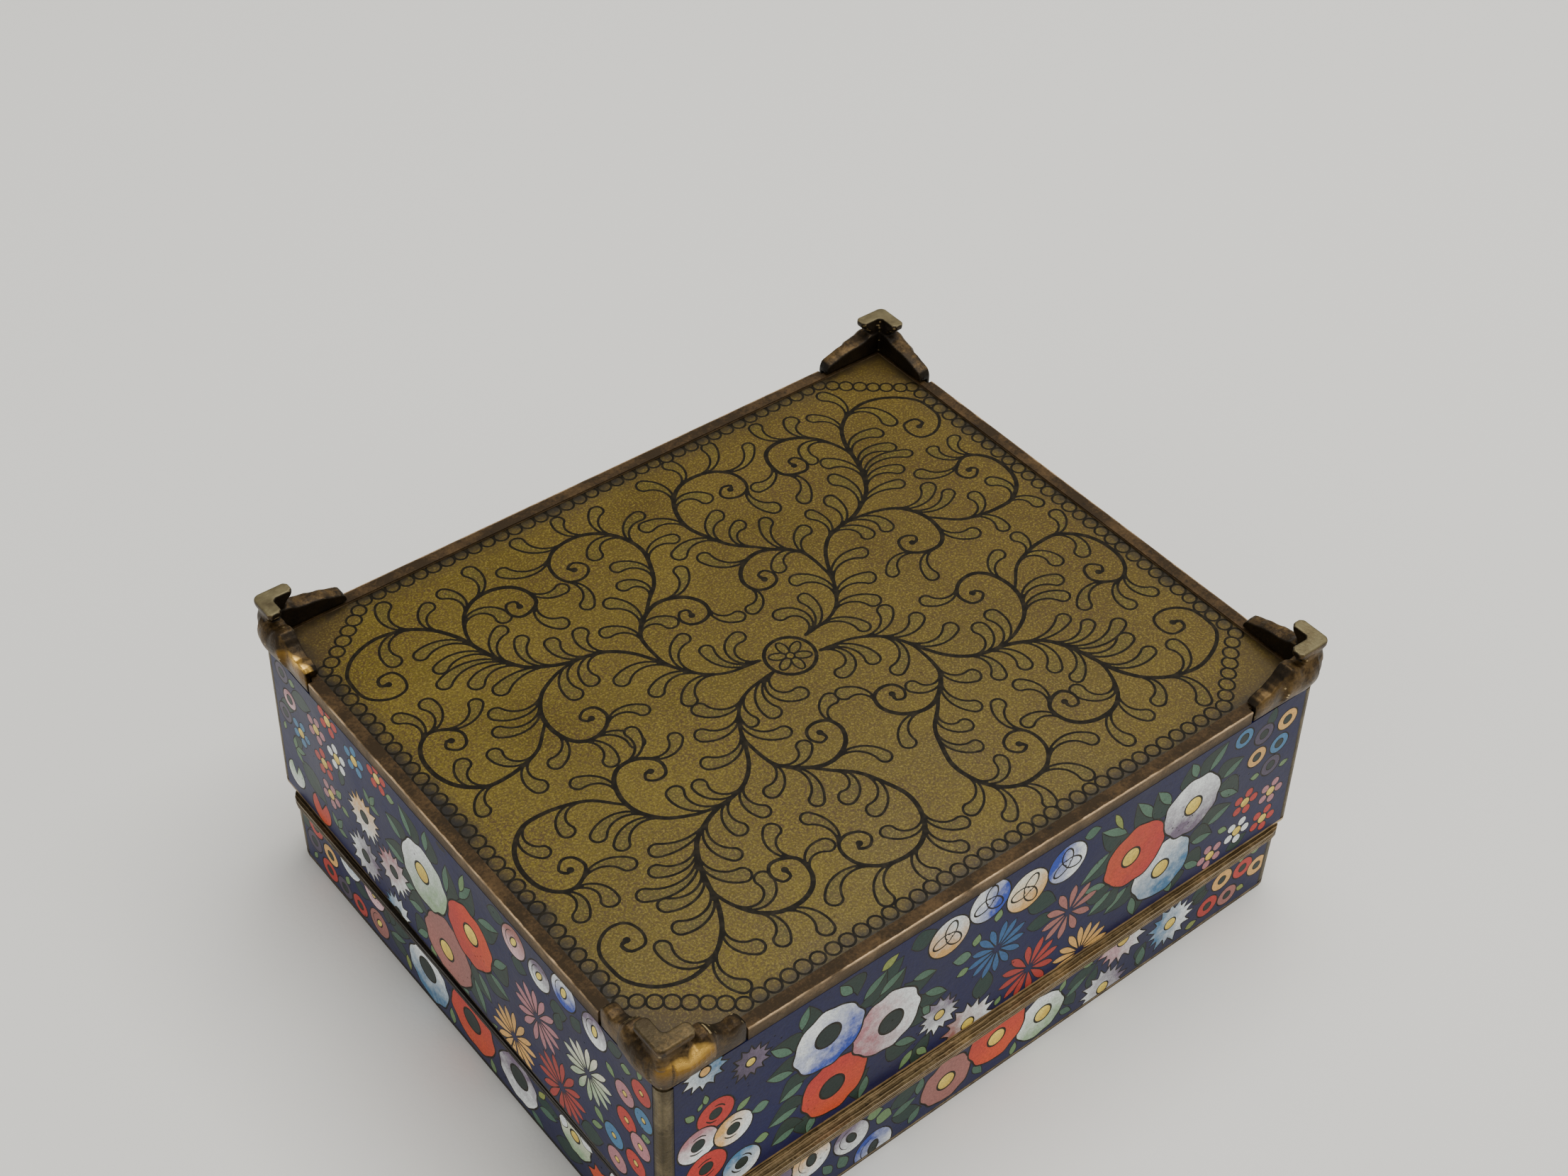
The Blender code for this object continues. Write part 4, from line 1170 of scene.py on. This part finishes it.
def from_corner(look, block, slope=0.0):
    """How far a point lies in from a block's two nearest sides, and its height."""
    cosine, sine = math.cos(-block.turn), math.sin(-block.turn)
    x, y = block.centre[:2]
    back = (-(x * cosine - y * sine), -(x * sine + y * cosine), 0.0)
    inputs = {"Vector": look.place, "Rotation": (0.0, 0.0, -block.turn), "Location": back}
    *beside, height = look.node("ShaderNodeMapping", inputs).parts()
    spread = (block.top - height) * slope
    insets = [spread + half - abs(part) for half, part in zip(block.half, beside)]
    return insets, height


def tarnished(look, tones, scale, low=0.45, high=0.72):
    """Brass between its worn tone and its brown one, with spots of dirt. Also gives the worn share."""
    bright, brown, dirt = tones
    fine = look.noise(scale * 11, 4.0, 0.65)
    worn = (look.noise(scale, 5.0, 0.65) + fine * 0.5).remap(low + 0.25, high + 0.25)
    colour = look.mixed(worn, brown, bright)
    spots = look.noise(scale * 3.7, 6.0, 0.7).remap(0.58, 0.70)
    return look.mixed(spots * 0.75, colour, dirt), worn, fine


# Black for dirt spots and for painted shade
BLACK_DIRT_AND_SHADE = (0.010, 0.008, 0.006)
RIM_TOP_TONES = ((0.095, 0.056, 0.022), (0.030, 0.018, 0.007), BLACK_DIRT_AND_SHADE)
RIM_SIDE_TONES = ((0.20, 0.135, 0.070), (0.10, 0.066, 0.034), (0.035, 0.024, 0.013))
RIM_LOW_TONE = (0.030, 0.021, 0.013)
ARRIS_HIGHLIGHT_TONE = (0.42, 0.29, 0.16)
STRIP_TONES = ((0.19, 0.15, 0.08), (0.085, 0.066, 0.034), (0.025, 0.02, 0.012))
STRIP_EDGE_DIRT_AND_CREASE_SHADE_TONE = (0.022, 0.017, 0.011)
MOUTH_TONES = ((0.45, 0.31, 0.17), (0.15, 0.10, 0.05), BLACK_DIRT_AND_SHADE)
LID_RIM_TONES = ((0.34, 0.245, 0.12), (0.11, 0.076, 0.036), BLACK_DIRT_AND_SHADE)
RIM_STREAK_AND_HIGHLIGHT_TONE = (0.50, 0.37, 0.20)
# A painted shadow darkens the rims on the left, where they lie under the body's edge
UNDER_BODY_SHADOW_TONE = (0.016, 0.014, 0.014)
UNDER_BODY_SHADOW_FROM = 0.0022  # how far in from the body's left side a lid's rim starts to be dark
UNDER_BODY_SHADOW_FULL = 0.0014
LID_TOP_TONES = ((0.13, 0.10, 0.07), (0.05, 0.038, 0.028), BLACK_DIRT_AND_SHADE)
CAST_TONES = ((0.14, 0.086, 0.030), (0.030, 0.018, 0.007), BLACK_DIRT_AND_SHADE)
CREST_TONE = (0.50, 0.39, 0.20)
TREAD_TONE = (0.17, 0.145, 0.075)
LIT_GOLD_TONE = (0.85, 0.52, 0.12)
SHADED_GOLD_TONE = (0.20, 0.11, 0.022)
YELLOW_GRAIN = (0.27, 0.205, 0.036)
RUST_GRAIN = (0.062, 0.034, 0.008)
EDGE_STAIN_AND_SHADE = (0.040, 0.026, 0.010)
CORNER_STAIN_AND_SHADE = (0.055, 0.036, 0.014)


def base_rim_brass():
    """The base rim: brown on its face, tan on its side, and rubbed bright along its edge, with a painted
    highlight there.
    """
    look = Look("base rim brass")
    insets, height = from_corner(look, BODY)
    waver = look.noise(700.0, 4.0, 0.6)
    face, _, fine = tarnished(look, RIM_TOP_TONES, 210.0)
    side = tarnished(look, RIM_SIDE_TONES, 260.0)[0]
    drop = BODY.top - height
    low = (drop + waver * 0.0012).remap(0.0013, 0.0027)
    side = look.mixed(low * 0.85, side, RIM_LOW_TONE)
    colour = look.mixed(drop.remap(0.00012, 0.00022), face, side)
    # A painted highlight along the outer edge, laid over the rubbed brass
    edge = (insets[0].maths("MINIMUM", insets[1]) + waver * 0.00030).remap(0.00022, 0.00036, 1.0, 0.0)
    edge = edge * drop.remap(0.00016, 0.00034, 1.0, 0.0)
    edge = edge * look.noise(190.0, 3.0).remap(0.36, 0.56, 0.15, 1.0)
    colour = look.mixed(edge, colour, ARRIS_HIGHLIGHT_TONE)
    rough, metal = edge.remap(0.0, 1.0, 0.55, 0.30), edge.remap(0.0, 1.0, 0.20, 0.85)
    return look.finished(colour, rough, RIM_SHINE, fine, BRASS_DEPTH, metal)


def strip_brass(name, block, width, slope):
    """A corner strip: dull, darker along its edges, with painted shade down its crease."""
    look = Look(name)
    insets = from_corner(look, block, slope)[0]
    waver = look.noise(500.0, 4.0, 0.6)
    colour, _, fine = tarnished(look, STRIP_TONES, 230.0)
    inset = insets[0].maths("MAXIMUM", insets[1]) + (waver - 0.5) * 0.0008
    edge = inset.remap(width * 0.72, width * 0.98)
    # Dark along the strip's edges, with painted shade down the crease where it turns the corner
    dark = (edge * 0.85).maths("MAXIMUM", inset.remap(0.0003, 0.0007, 0.55, 0.0))
    colour = look.mixed(dark, colour, STRIP_EDGE_DIRT_AND_CREASE_SHADE_TONE)
    return look.finished(colour, 0.48, BRASS_SHINE, fine - dark, BRASS_DEPTH, 0.4)


def banded_brass(name, piece_name, block, tones, bands, scale, metal, rough):
    """A rim with lines along it: bands are (share of its height, half width, darkness), and a negative
    darkness paints a highlight line on its sides.
    On the left, where it lies under the edge of the body, a painted shadow darkens it."""
    look = Look(name)
    low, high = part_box(piece_name)
    beside, away_from_front, height = look.place.parts()
    waver = look.noise(420.0, 3.0, 0.6)
    share = height.remap(low[2], high[2]) + (waver - 0.5) * 0.16
    colour, worn, fine = tarnished(look, tones, scale)
    relief = fine
    upright = look.node("ShaderNodeNewGeometry", output="Normal").parts()[2].remap(0.80, 0.95, 1.0, 0.0)
    insets, level = from_corner(look, block)
    inset = insets[0].maths("MINIMUM", insets[1]) + waver * 0.0003
    across = look.node("ShaderNodeCombineXYZ", {0: inset, 2: level})
    streak = look.noise(5200.0, 2.0, 0.5, across)
    colour = look.mixed(streak.remap(0.52, 0.64) * 0.7, colour, RIM_STREAK_AND_HIGHLIGHT_TONE)
    colour = look.mixed(streak.remap(0.46, 0.36) * 0.8, colour, BLACK_DIRT_AND_SHADE)
    for centre, half, darkness in bands:
        line = abs(share - centre).remap(half * 0.5, half, 1.0, 0.0)
        if darkness > 0:
            colour = look.mixed(line * darkness, colour, BLACK_DIRT_AND_SHADE)
            relief = relief - line
        else:
            # A painted highlight line along the rim's side
            line = line * waver.remap(0.34, 0.52) * upright
            colour = look.mixed(line * -darkness, colour, RIM_STREAK_AND_HIGHLIGHT_TONE)
    # Painted shadow on the left, where the rim lies under the body's edge, stronger towards the front
    hidden = beside.remap(UNDER_BODY_SHADOW_FROM - BODY.half[0], UNDER_BODY_SHADOW_FULL - BODY.half[0])
    hidden = hidden * away_from_front.remap(0.040, 0.012, 0.45, 0.93)
    colour = look.mixed(hidden, colour, UNDER_BODY_SHADOW_TONE)
    gloss = worn.remap(0.0, 1.0, rough + 0.14, rough)
    return look.finished(colour, gloss, BRASS_SHINE, relief, BRASS_DEPTH, metal)


def underside_stain_and_shade(look, colour):
    """Yellow and red-brown grain all over, and painted shade with dirt, darker along the edges next to the
    rim and round the feet.
    """
    grain = look.noise(3300.0, 2.0, 0.6)
    colour = look.mixed(grain.remap(0.48, 0.66, 0.0, 0.55), colour, YELLOW_GRAIN)
    rust = look.noise(2700.0, 3.0, 0.7).remap(0.47, 0.60)
    colour = look.mixed(rust * look.noise(90.0, 3.0).remap(0.38, 0.64, 0.5, 1.0), colour, RUST_GRAIN)
    # Painted shade with dirt along the edges, where the rim stands over the underside, and round the feet
    insets = from_corner(look, BODY)[0]
    sway = (look.noise(330.0, 5.0, 0.65) - 0.5) * 0.0050
    inset = insets[0].maths("MINIMUM", insets[1]) + sway
    colour = look.mixed(inset.remap(0.0026, 0.0060, 0.50, 0.0), colour, EDGE_STAIN_AND_SHADE)
    colour = look.mixed(inset.remap(0.0018, 0.0034, 0.88, 0.0), colour, BLACK_DIRT_AND_SHADE)
    squares = [part.maths("POWER", 2.0) for part in insets]
    away = (squares[0] + squares[1]).maths("SQRT") + sway
    colour = look.mixed(away.remap(0.0040, 0.0135, 0.62, 0.0), colour, CORNER_STAIN_AND_SHADE)
    left = (look.place.parts()[0] + BODY.half[0] + sway * 0.8).remap(0.0026, 0.0046, 0.95, 0.0)
    patch = look.noise(75.0, 2.0).remap(0.46, 0.56, 0.10, 1.0)
    return look.mixed(left * patch, colour, BLACK_DIRT_AND_SHADE)


# Heights over the underside between which a foot's brass turns to its tread's
TREAD_FROM = 0.0052
TREAD_FULL = 0.0060
WING_END = (0.0112, 0.0122)
GOLD_EDGE = 0.0007

# Where a foot's brass is rubbed to gold: a place, and how far that reaches
RUBBED = (
    ((-0.0545, -0.0472, 0.0430), 0.0022),
    ((-0.0532, -0.0472, 0.0430), 0.0024),
    ((-0.0502, -0.0472, 0.0430), 0.0026),
    ((-0.0562, 0.0388, 0.0424), 0.0020),
    ((-0.0560, 0.0370, 0.0424), 0.0021),
    ((-0.0557, 0.0353, 0.0420), 0.0021),
)


def foot_brass():
    """The cast feet: olive treads, brown waves with rubbed crests, inner sides in painted shade, hollows
    black with dirt and painted shade, spots of rubbed gold with a painted highlight where they face up.
    """
    look = Look("cast brass")
    normals = look.node("ShaderNodeNewGeometry", output="Normal").parts()
    bend = look.node("ShaderNodeNewGeometry", output="Pointiness")
    insets, height = from_corner(look, BODY)
    waver = look.noise(380.0, 4.0, 0.6)
    colour, _, fine = tarnished(look, CAST_TONES, 190.0, 0.42, 0.70)
    beside = look.place.parts()
    tread = height.remap(BODY.top + TREAD_FROM, BODY.top + TREAD_FULL) * normals[2].remap(0.2, 0.7)
    tread = tread * waver.remap(0.30, 0.60, 0.35, 0.95)
    tread = tread * (beside[0] + beside[1]).remap(-0.090, -0.075, 0.25, 1.0)
    colour = look.mixed(tread, colour, TREAD_TONE)
    # Painted shade on the sides that face in towards the box
    inner_side_shade = [place.maths("SIGN") * normal for place, normal in zip(beside[:2], normals)]
    colour = look.mixed((inner_side_shade[0] + inner_side_shade[1]).remap(-0.30, -0.75) * 0.85, colour, BLACK_DIRT_AND_SHADE)
    crest = bend.remap(0.535, 0.60) * waver.remap(0.35, 0.58, 0.1, 0.9)
    colour = look.mixed(crest, colour, CREST_TONE)
    # Hollows black, dirt and painted shade together
    hollow_shade_and_dirt = bend.remap(0.490, 0.455)
    colour = look.mixed(hollow_shade_and_dirt * 0.9, colour, BLACK_DIRT_AND_SHADE)
    gold = None
    for centre, reach in RUBBED:
        away = look.node("ShaderNodeVectorMath", {0: look.place, 1: centre}, "Value", operation="DISTANCE")
        near = (away + waver * 0.0010).remap(reach, reach + GOLD_EDGE, 1.0, 0.0)
        gold = near if gold is None else gold.maths("MAXIMUM", near)
    gold = gold * hollow_shade_and_dirt.remap(0.0, 0.6, 1.0, 0.0) * normals[2].remap(-0.25, 0.15)
    # Painted highlight: the rubbed gold is brighter where it faces up and darker below
    gold_painted_highlight = (normals[2] + waver * 0.3).remap(0.30, 0.70)
    colour = look.mixed(gold, colour, look.mixed(gold_painted_highlight, SHADED_GOLD_TONE, LIT_GOLD_TONE))
    far_end = insets[0].maths("MAXIMUM", insets[1]).remap(*WING_END)
    colour = look.mixed(far_end * waver.remap(0.35, 0.55), colour, BLACK_DIRT_AND_SHADE)
    lines = {"Vector": look.place, "Scale": 420.0, "Distortion": 2.0, "Detail": 2.0}
    ridges = look.node("ShaderNodeTexWave", lines, "Fac") * (gold * 0.5)
    rough, metal = gold.remap(0.0, 1.0, 0.42, 0.22), gold.remap(0.0, 1.0, 0.45, 0.95)
    return look.finished(colour, rough, BRASS_SHINE, fine + ridges, BRASS_DEPTH, metal)


def dress_walls(name, block, strip, low, high, down, ground, layouts, materials):
    """Slabs on a block's walls, between two heights in millimetres."""
    for quarter, side in enumerate(SIDE_NAMES):
        edge = (block.across(quarter) - strip - SEAM) / MM
        wide, narrow = edge - block.slope * low, edge - block.slope * high
        outline = [(-wide, low), (wide, low), (narrow, high), (-narrow, high)]
        painting = Painting(outline, ground, down=down)
        paint(painting, layouts[quarter % 2], side in HIDDEN_SIDES)
        place, into = block.side(quarter)
        slab(f"{name}_enamel_{side}", painting, place, into, materials)


def dress_underside(materials):
    edge_x, edge_y = ((half - BASE_RIM_FLANGE - SEAM) / MM for half in BODY.half)
    outline = [(-edge_x, -edge_y), (edge_x, -edge_y), (edge_x, edge_y), (-edge_x, edge_y)]
    painting = Painting(outline, fill("scroll ground", "scroll ground 2", (0, 0), 30, 40))
    paint_underside(painting)
    origin = Vector((BODY.centre[0], BODY.centre[1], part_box("body")[1][2] + SLAB_PROUD))

    def place(x, y):
        return origin + Vector((x * MM, y * MM, 0.0))

    slab("underside_enamel", painting, place, Vector((0, 0, -SLAB_DEPTH)), materials)


SIDE_NAMES = ("front", "right", "back", "left")
HIDDEN_SIDES = ("right", "back")

# The feet, with the solids' own sizes and lines: each one's signs of x and y, the reach of its wings,
# how these end, and the reach of its tread's arms
FEET = {
    "front": ((-1, -1), (0.0123, 0.0120), ("low", "low"), (0.0050, 0.0050)),
    "right": ((1, -1), (0.0121, 0.0123), ("leaf", "slope"), (0.0052, 0.0048)),
    "back": ((1, 1), (0.0123, 0.0120), ("slope", "slope"), (0.0050, 0.0050)),
    "left": ((-1, 1), (0.0123, 0.0121), ("slope", "low"), (0.0048, 0.0045)),
}
ARM_ROUNDING = 0.0005
FOOT_THICKNESS = 0.0019
FOOT_BULGE = 0.0016
SHOULDER_HEIGHT = 0.0045
TREAD_WIDTH = 0.0021
TREAD_PROUD = 0.0005
TREAD_RADIUS = 0.0010
BASE_RIM_LEG = 0.0006
CORNER_RADIUS = 0.0013
GAP = 0.0003
EDGE_DROP = 0.0002
SHOULDER_LINE = (
    (0.00, 0.90), (0.31, 0.90), (0.37, 0.87), (0.45, 0.98),
    (0.53, 1.00), (0.60, 0.84), (0.65, 0.64), (0.73, 0.49),
)
# How a wing ends: in one long slope, low and rounded, or in a long low leaf
WING_EDGES = {
    "slope": (
        (0.00, 0.90), (0.31, 0.88), (0.40, 0.76), (0.50, 0.70), (0.60, 0.68),
        (0.72, 0.62), (0.84, 0.50), (0.93, 0.43), (0.97, 0.38), (1.00, 0.20),
    ),
    "low": SHOULDER_LINE + ((0.80, 0.42), (0.88, 0.48), (0.95, 0.44), (1.00, 0.30)),
    "leaf": SHOULDER_LINE + ((0.80, 0.36), (0.86, 0.34), (0.94, 0.24), (1.00, 0.10)),
}
WING_SWELL = (
    (0.00, 0.50), (0.12, 0.80), (0.26, 1.00), (0.45, 0.92), (0.575, 0.80), (0.615, 0.30), (0.65, 0.22),
    (0.80, 0.26), (0.90, 0.24), (1.00, 0.06),
)
# The section of a wing: share of its height, share of its bulge
KNEE_SECTION = (
    (0.00, 0.00), (0.10, 0.24), (0.20, 0.50), (0.30, 0.70), (0.40, 0.86), (0.50, 0.96), (0.60, 1.00),
    (0.70, 0.96), (0.80, 0.85), (0.90, 0.66), (0.97, 0.40), (1.00, 0.20),
)
# The ankle and the tread: height in shoulder heights, then shares of how proud, long and wide it is
COLUMN = (
    (0.60, 1.00, 0.70, 1.08), (0.80, 0.80, 0.70, 1.02), (0.95, 0.50, 0.74, 0.94),
    (1.05, 0.45, 0.80, 0.92), (1.16, 0.70, 0.90, 0.96), (1.22, 0.95, 0.985, 1.00),
    (1.30, 1.00, 1.00, 1.00), (1.38, 1.00, 1.00, 1.00), (1.4222, 0.84, 0.985, 0.96),
)
STATIONS = 64
CORNER_STATIONS = 8
FOOT_VOXEL = 0.00013
FOOT_SMOOTHING = 4


def read_line(pairs, share):
    """Reads a line of (place, value) pairs at a place, rounding its bends."""
    for (x0, y0), (x1, y1) in zip(pairs, pairs[1:]):
        if share <= x1:
            t = max(0.0, (share - x0) / (x1 - x0))
            return y0 + (y1 - y0) * (0.5 * t + 0.5 * t * t * (3 - 2 * t))
    return pairs[-1][1]


def corner_arc(radius, out, turn):
    """A point of the plan round the corner, as distances in from the outline's two sides."""
    reach = radius + out
    if reach <= 0:
        return -out, -out
    angle = turn * math.pi / 2
    return radius - reach * math.sin(angle), radius - reach * math.cos(angle)


def foot_section(share, edge):
    """The foot's section as (out, height) pairs at a share of the wing's length."""
    top = SHOULDER_HEIGHT * read_line(WING_EDGES[edge], share)
    bulge = FOOT_BULGE * read_line(WING_SWELL, share)
    section = [(-BASE_RIM_LEG, -BASE_RIM_DEPTH)]
    for rise, out in KNEE_SECTION:
        section.append((out * bulge, -BASE_RIM_DEPTH + rise * (top + BASE_RIM_DEPTH)))
    section += [(-FOOT_THICKNESS * 0.5, top), (-FOOT_THICKNESS, top - EDGE_DROP)]
    section += [(-FOOT_THICKNESS, GAP), (-BASE_RIM_LEG, GAP)]
    return section


def foot_plan(kind, value, out, wings):
    if kind == "x wing":
        return value * wings[0], -out
    if kind == "y wing":
        return -out, value * wings[1]
    return corner_arc(CORNER_RADIUS, out, value)


def tube(mesh, loops):
    """A closed skin over a run of loops."""
    rings = [[mesh.verts.new(point) for point in loop] for loop in loops]
    for low, high in zip(rings, rings[1:]):
        for i in range(len(low)):
            mesh.faces.new((low[i - 1], low[i], high[i], high[i - 1]))
    mesh.faces.new(rings[0][::-1])
    mesh.faces.new(rings[-1])


def fine_foot(name, look, signs, wings, edges, arms):
    """A cast foot with rounded waves, in the place of the plainer solid."""

    def spot(x, y, height):
        across = BODY.centre[0] + signs[0] * (BODY.half[0] - x)
        return (across, BODY.centre[1] + signs[1] * (BODY.half[1] - y), BODY.top + height)

    shares = [1 - step / STATIONS for step in range(STATIONS)]
    shares = [share for share in shares if share * wings[0] > CORNER_RADIUS]
    places = [("x wing", share) for share in shares]
    places += [("corner", step / CORNER_STATIONS) for step in range(CORNER_STATIONS + 1)]
    places += [("y wing", share) for share in reversed(shares)]
    mesh = bmesh.new()
    loops = []
    for kind, value in places:
        section = foot_section(0.0 if kind == "corner" else value, edges[kind == "y wing"])
        loops.append([spot(*foot_plan(kind, value, out, wings), height) for out, height in section])
    tube(mesh, loops)
    levels = []
    for rise, proud, arm, width in COLUMN:
        out = TREAD_PROUD * proud
        reach_x, reach_y = arms[0] * arm, arms[1] * arm
        inner = TREAD_WIDTH * width - out
        cut = ARM_ROUNDING
        plan = [(reach_x - cut, inner), (reach_x, inner - cut)]
        plan += [(reach_x, cut - out), (reach_x - cut, -out)]
        for step in range(CORNER_STATIONS, -1, -1):
            plan.append(corner_arc(TREAD_RADIUS - out, out, 1 - step / CORNER_STATIONS))
        plan += [(-out, reach_y - cut), (cut - out, reach_y), (inner - cut, reach_y)]
        plan += [(inner, reach_y - cut), (inner, inner + cut), (inner + cut, inner)]
        levels.append([spot(x, y, SHOULDER_HEIGHT * rise) for x, y in plan])
    tube(mesh, levels)
    foot = finish_piece(mesh, name, [look])
    skin = foot.modifiers.new("one skin", "REMESH")
    skin.mode = "VOXEL"
    skin.voxel_size = FOOT_VOXEL
    skin.use_smooth_shade = True
    soft = foot.modifiers.new("soft edges", "SMOOTH")
    soft.factor = 0.5
    soft.iterations = FOOT_SMOOTHING
    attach(foot, "root")
    return foot


enamel = [enamel_material("flower enamel"), wire_material()]
dress_walls(
    "body", BODY, STRIP_WIDTH, -(BODY.top - MOUTH_Z - MOUTH_RIM_HEIGHT - SEAM) / MM,
    -(BASE_RIM_DEPTH + SEAM) / MM, 1.0, fill("ground", "ground 2", (0, -15), 80, 20),
    (BODY_FRONT, BODY_SIDE), enamel,
)
dress_walls(
    "lid", LID, LID_STRIP_WIDTH, (TOP_RIM_DEPTH + SEAM) / MM,
    (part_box("lid_mouth_rim")[0][2] - SEAM) / MM, -1.0, fill("ground", "ground 2", (0, 5), 80, 10),
    (LID_FRONT, LID_SIDE), enamel,
)
dress_underside([enamel_material("scroll enamel", None, underside_stain_and_shade, SCROLL_SHINE), enamel[1]])

counter_enamel = enamel_material("counter enamel", ("ground", "ground 2"))
# Bands: share of height, half width, darkness; a negative darkness is a painted highlight line
MOUTH_BANDS = ((0.93, 0.10, -0.9),)
LID_RIM_BANDS = (
    (0.95, 0.07, -0.9), (0.79, 0.07, 0.9), (0.64, 0.06, -0.5), (0.49, 0.07, 0.9), (0.35, 0.06, -0.45),
    (0.20, 0.07, 0.85), (0.06, 0.05, -0.4),
)
looks = {
    "body": counter_enamel,
    "lid": counter_enamel,
    "base_rim": base_rim_brass(),
}
for name, piece_name, *sizes in (
    ("mouth brass", "body_mouth_rim", BODY, MOUTH_TONES, MOUTH_BANDS, 260.0, 0.75, 0.32),
    ("lid rim brass", "lid_mouth_rim", LID, LID_RIM_TONES, LID_RIM_BANDS, 170.0, 0.70, 0.32),
    ("lid top brass", "lid_top_rim", LID, LID_TOP_TONES, (), 200.0, 0.45, 0.45),
):
    looks[piece_name] = banded_brass(name, piece_name, *sizes)
body_strip = strip_brass("body strip brass", BODY, STRIP_WIDTH, BODY.slope)
lid_strip = strip_brass("lid strip brass", LID, LID_STRIP_WIDTH, 0.0)
cast_brass = foot_brass()
for name, sizes in FEET.items():
    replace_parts(fine_foot(f"cast_foot_{name}", cast_brass, *sizes), f"foot_{name}")
for name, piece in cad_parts.items():
    look = looks.get(name, cast_brass)
    if name.startswith("body_corner"):
        look = body_strip
    elif name.startswith("lid_corner"):
        look = lid_strip
    piece.data.materials.clear()
    piece.data.materials.append(look)
    if look is not counter_enamel:
        bevel = piece.modifiers.new("arris", "BEVEL")
        bevel.width = ARRIS_WIDTH
        bevel.segments = 2

# Area lights: a name, a place, a size, watts and a tint. Each one points at the middle of the table.
LIGHTS = (
    ("top light", (0.26, 0.02, 0.9), (0.9, 0.7), 9.0, (1.0, 0.98, 0.94)),
    ("left light", (-0.9, -0.1, 0.55), (0.6, 0.5), 1.6, (1.0, 0.98, 0.95)),
    ("right light", (0.6, -0.8, 0.5), (0.6, 0.5), 1.0, (1.0, 0.97, 0.93)),
)
FLOOR_SIZE = 4.0
FLOOR_TONES = ((0.85, 0.85, 0.82), (0.88, 0.88, 0.85))
FLOOR_ROUGHNESS = 0.85
FLOOR_SHINE = 0.5
FLOOR_DEPTH = 0.0002
FLOOR_BUMP = 0.15
WORLD_TONE = (1.0, 0.98, 0.95, 1.0)
WORLD_STRENGTH = 0.43


def studio():
    """A pale floor and soft light from above."""
    bpy.ops.mesh.primitive_plane_add(size=FLOOR_SIZE)
    floor = bpy.context.object
    floor.name = "floor"
    look = Look("pale floor")
    colour = look.mixed(look.noise(6.0, 4.0), *FLOOR_TONES)
    relief = look.noise(900.0, 2.0)
    material = look.finished(
        colour, FLOOR_ROUGHNESS, FLOOR_SHINE, relief, FLOOR_DEPTH, strength=FLOOR_BUMP
    )
    floor.data.materials.append(material)
    world = bpy.context.scene.world or bpy.data.worlds.new("studio")
    bpy.context.scene.world = world
    world.use_nodes = True
    background = world.node_tree.nodes["Background"]
    background.inputs["Color"].default_value = WORLD_TONE
    background.inputs["Strength"].default_value = WORLD_STRENGTH
    for name, at, size, power, tint in LIGHTS:
        data = bpy.data.lights.new(name, "AREA")
        data.shape = "RECTANGLE"
        data.size, data.size_y = size
        data.energy = power
        data.color = tint
        light = bpy.data.objects.new(name, data)
        light.location = at
        light.rotation_euler = Vector(at).to_track_quat("Z", "Y").to_euler()
        bpy.context.scene.collection.objects.link(light)


def aim_camera():
    """A camera at the photograph's viewing angle."""
    level = Vector((math.cos(CAMERA_TURN), math.sin(CAMERA_TURN), 0.0))
    dip = math.cos(CAMERA_DIP)
    forward = Vector((-math.sin(CAMERA_TURN) * dip, math.cos(CAMERA_TURN) * dip, -math.sin(CAMERA_DIP)))
    upward = level.cross(forward)
    right = level * math.cos(CAMERA_ROLL) + upward * math.sin(CAMERA_ROLL)
    above = upward * math.cos(CAMERA_ROLL) - level * math.sin(CAMERA_ROLL)
    data = bpy.data.cameras.new("camera")
    data.lens = CAMERA_LENS
    data.sensor_width = CAMERA_SENSOR
    data.sensor_fit = "HORIZONTAL"
    data.clip_start = 0.01
    camera = bpy.data.objects.new("camera", data)
    bpy.context.scene.collection.objects.link(camera)
    pose = Matrix((right, above, -forward)).transposed().to_4x4()
    pose.translation = Vector(CAMERA_AT)
    camera.matrix_world = pose
    bpy.context.scene.camera = camera


studio()
aim_camera()
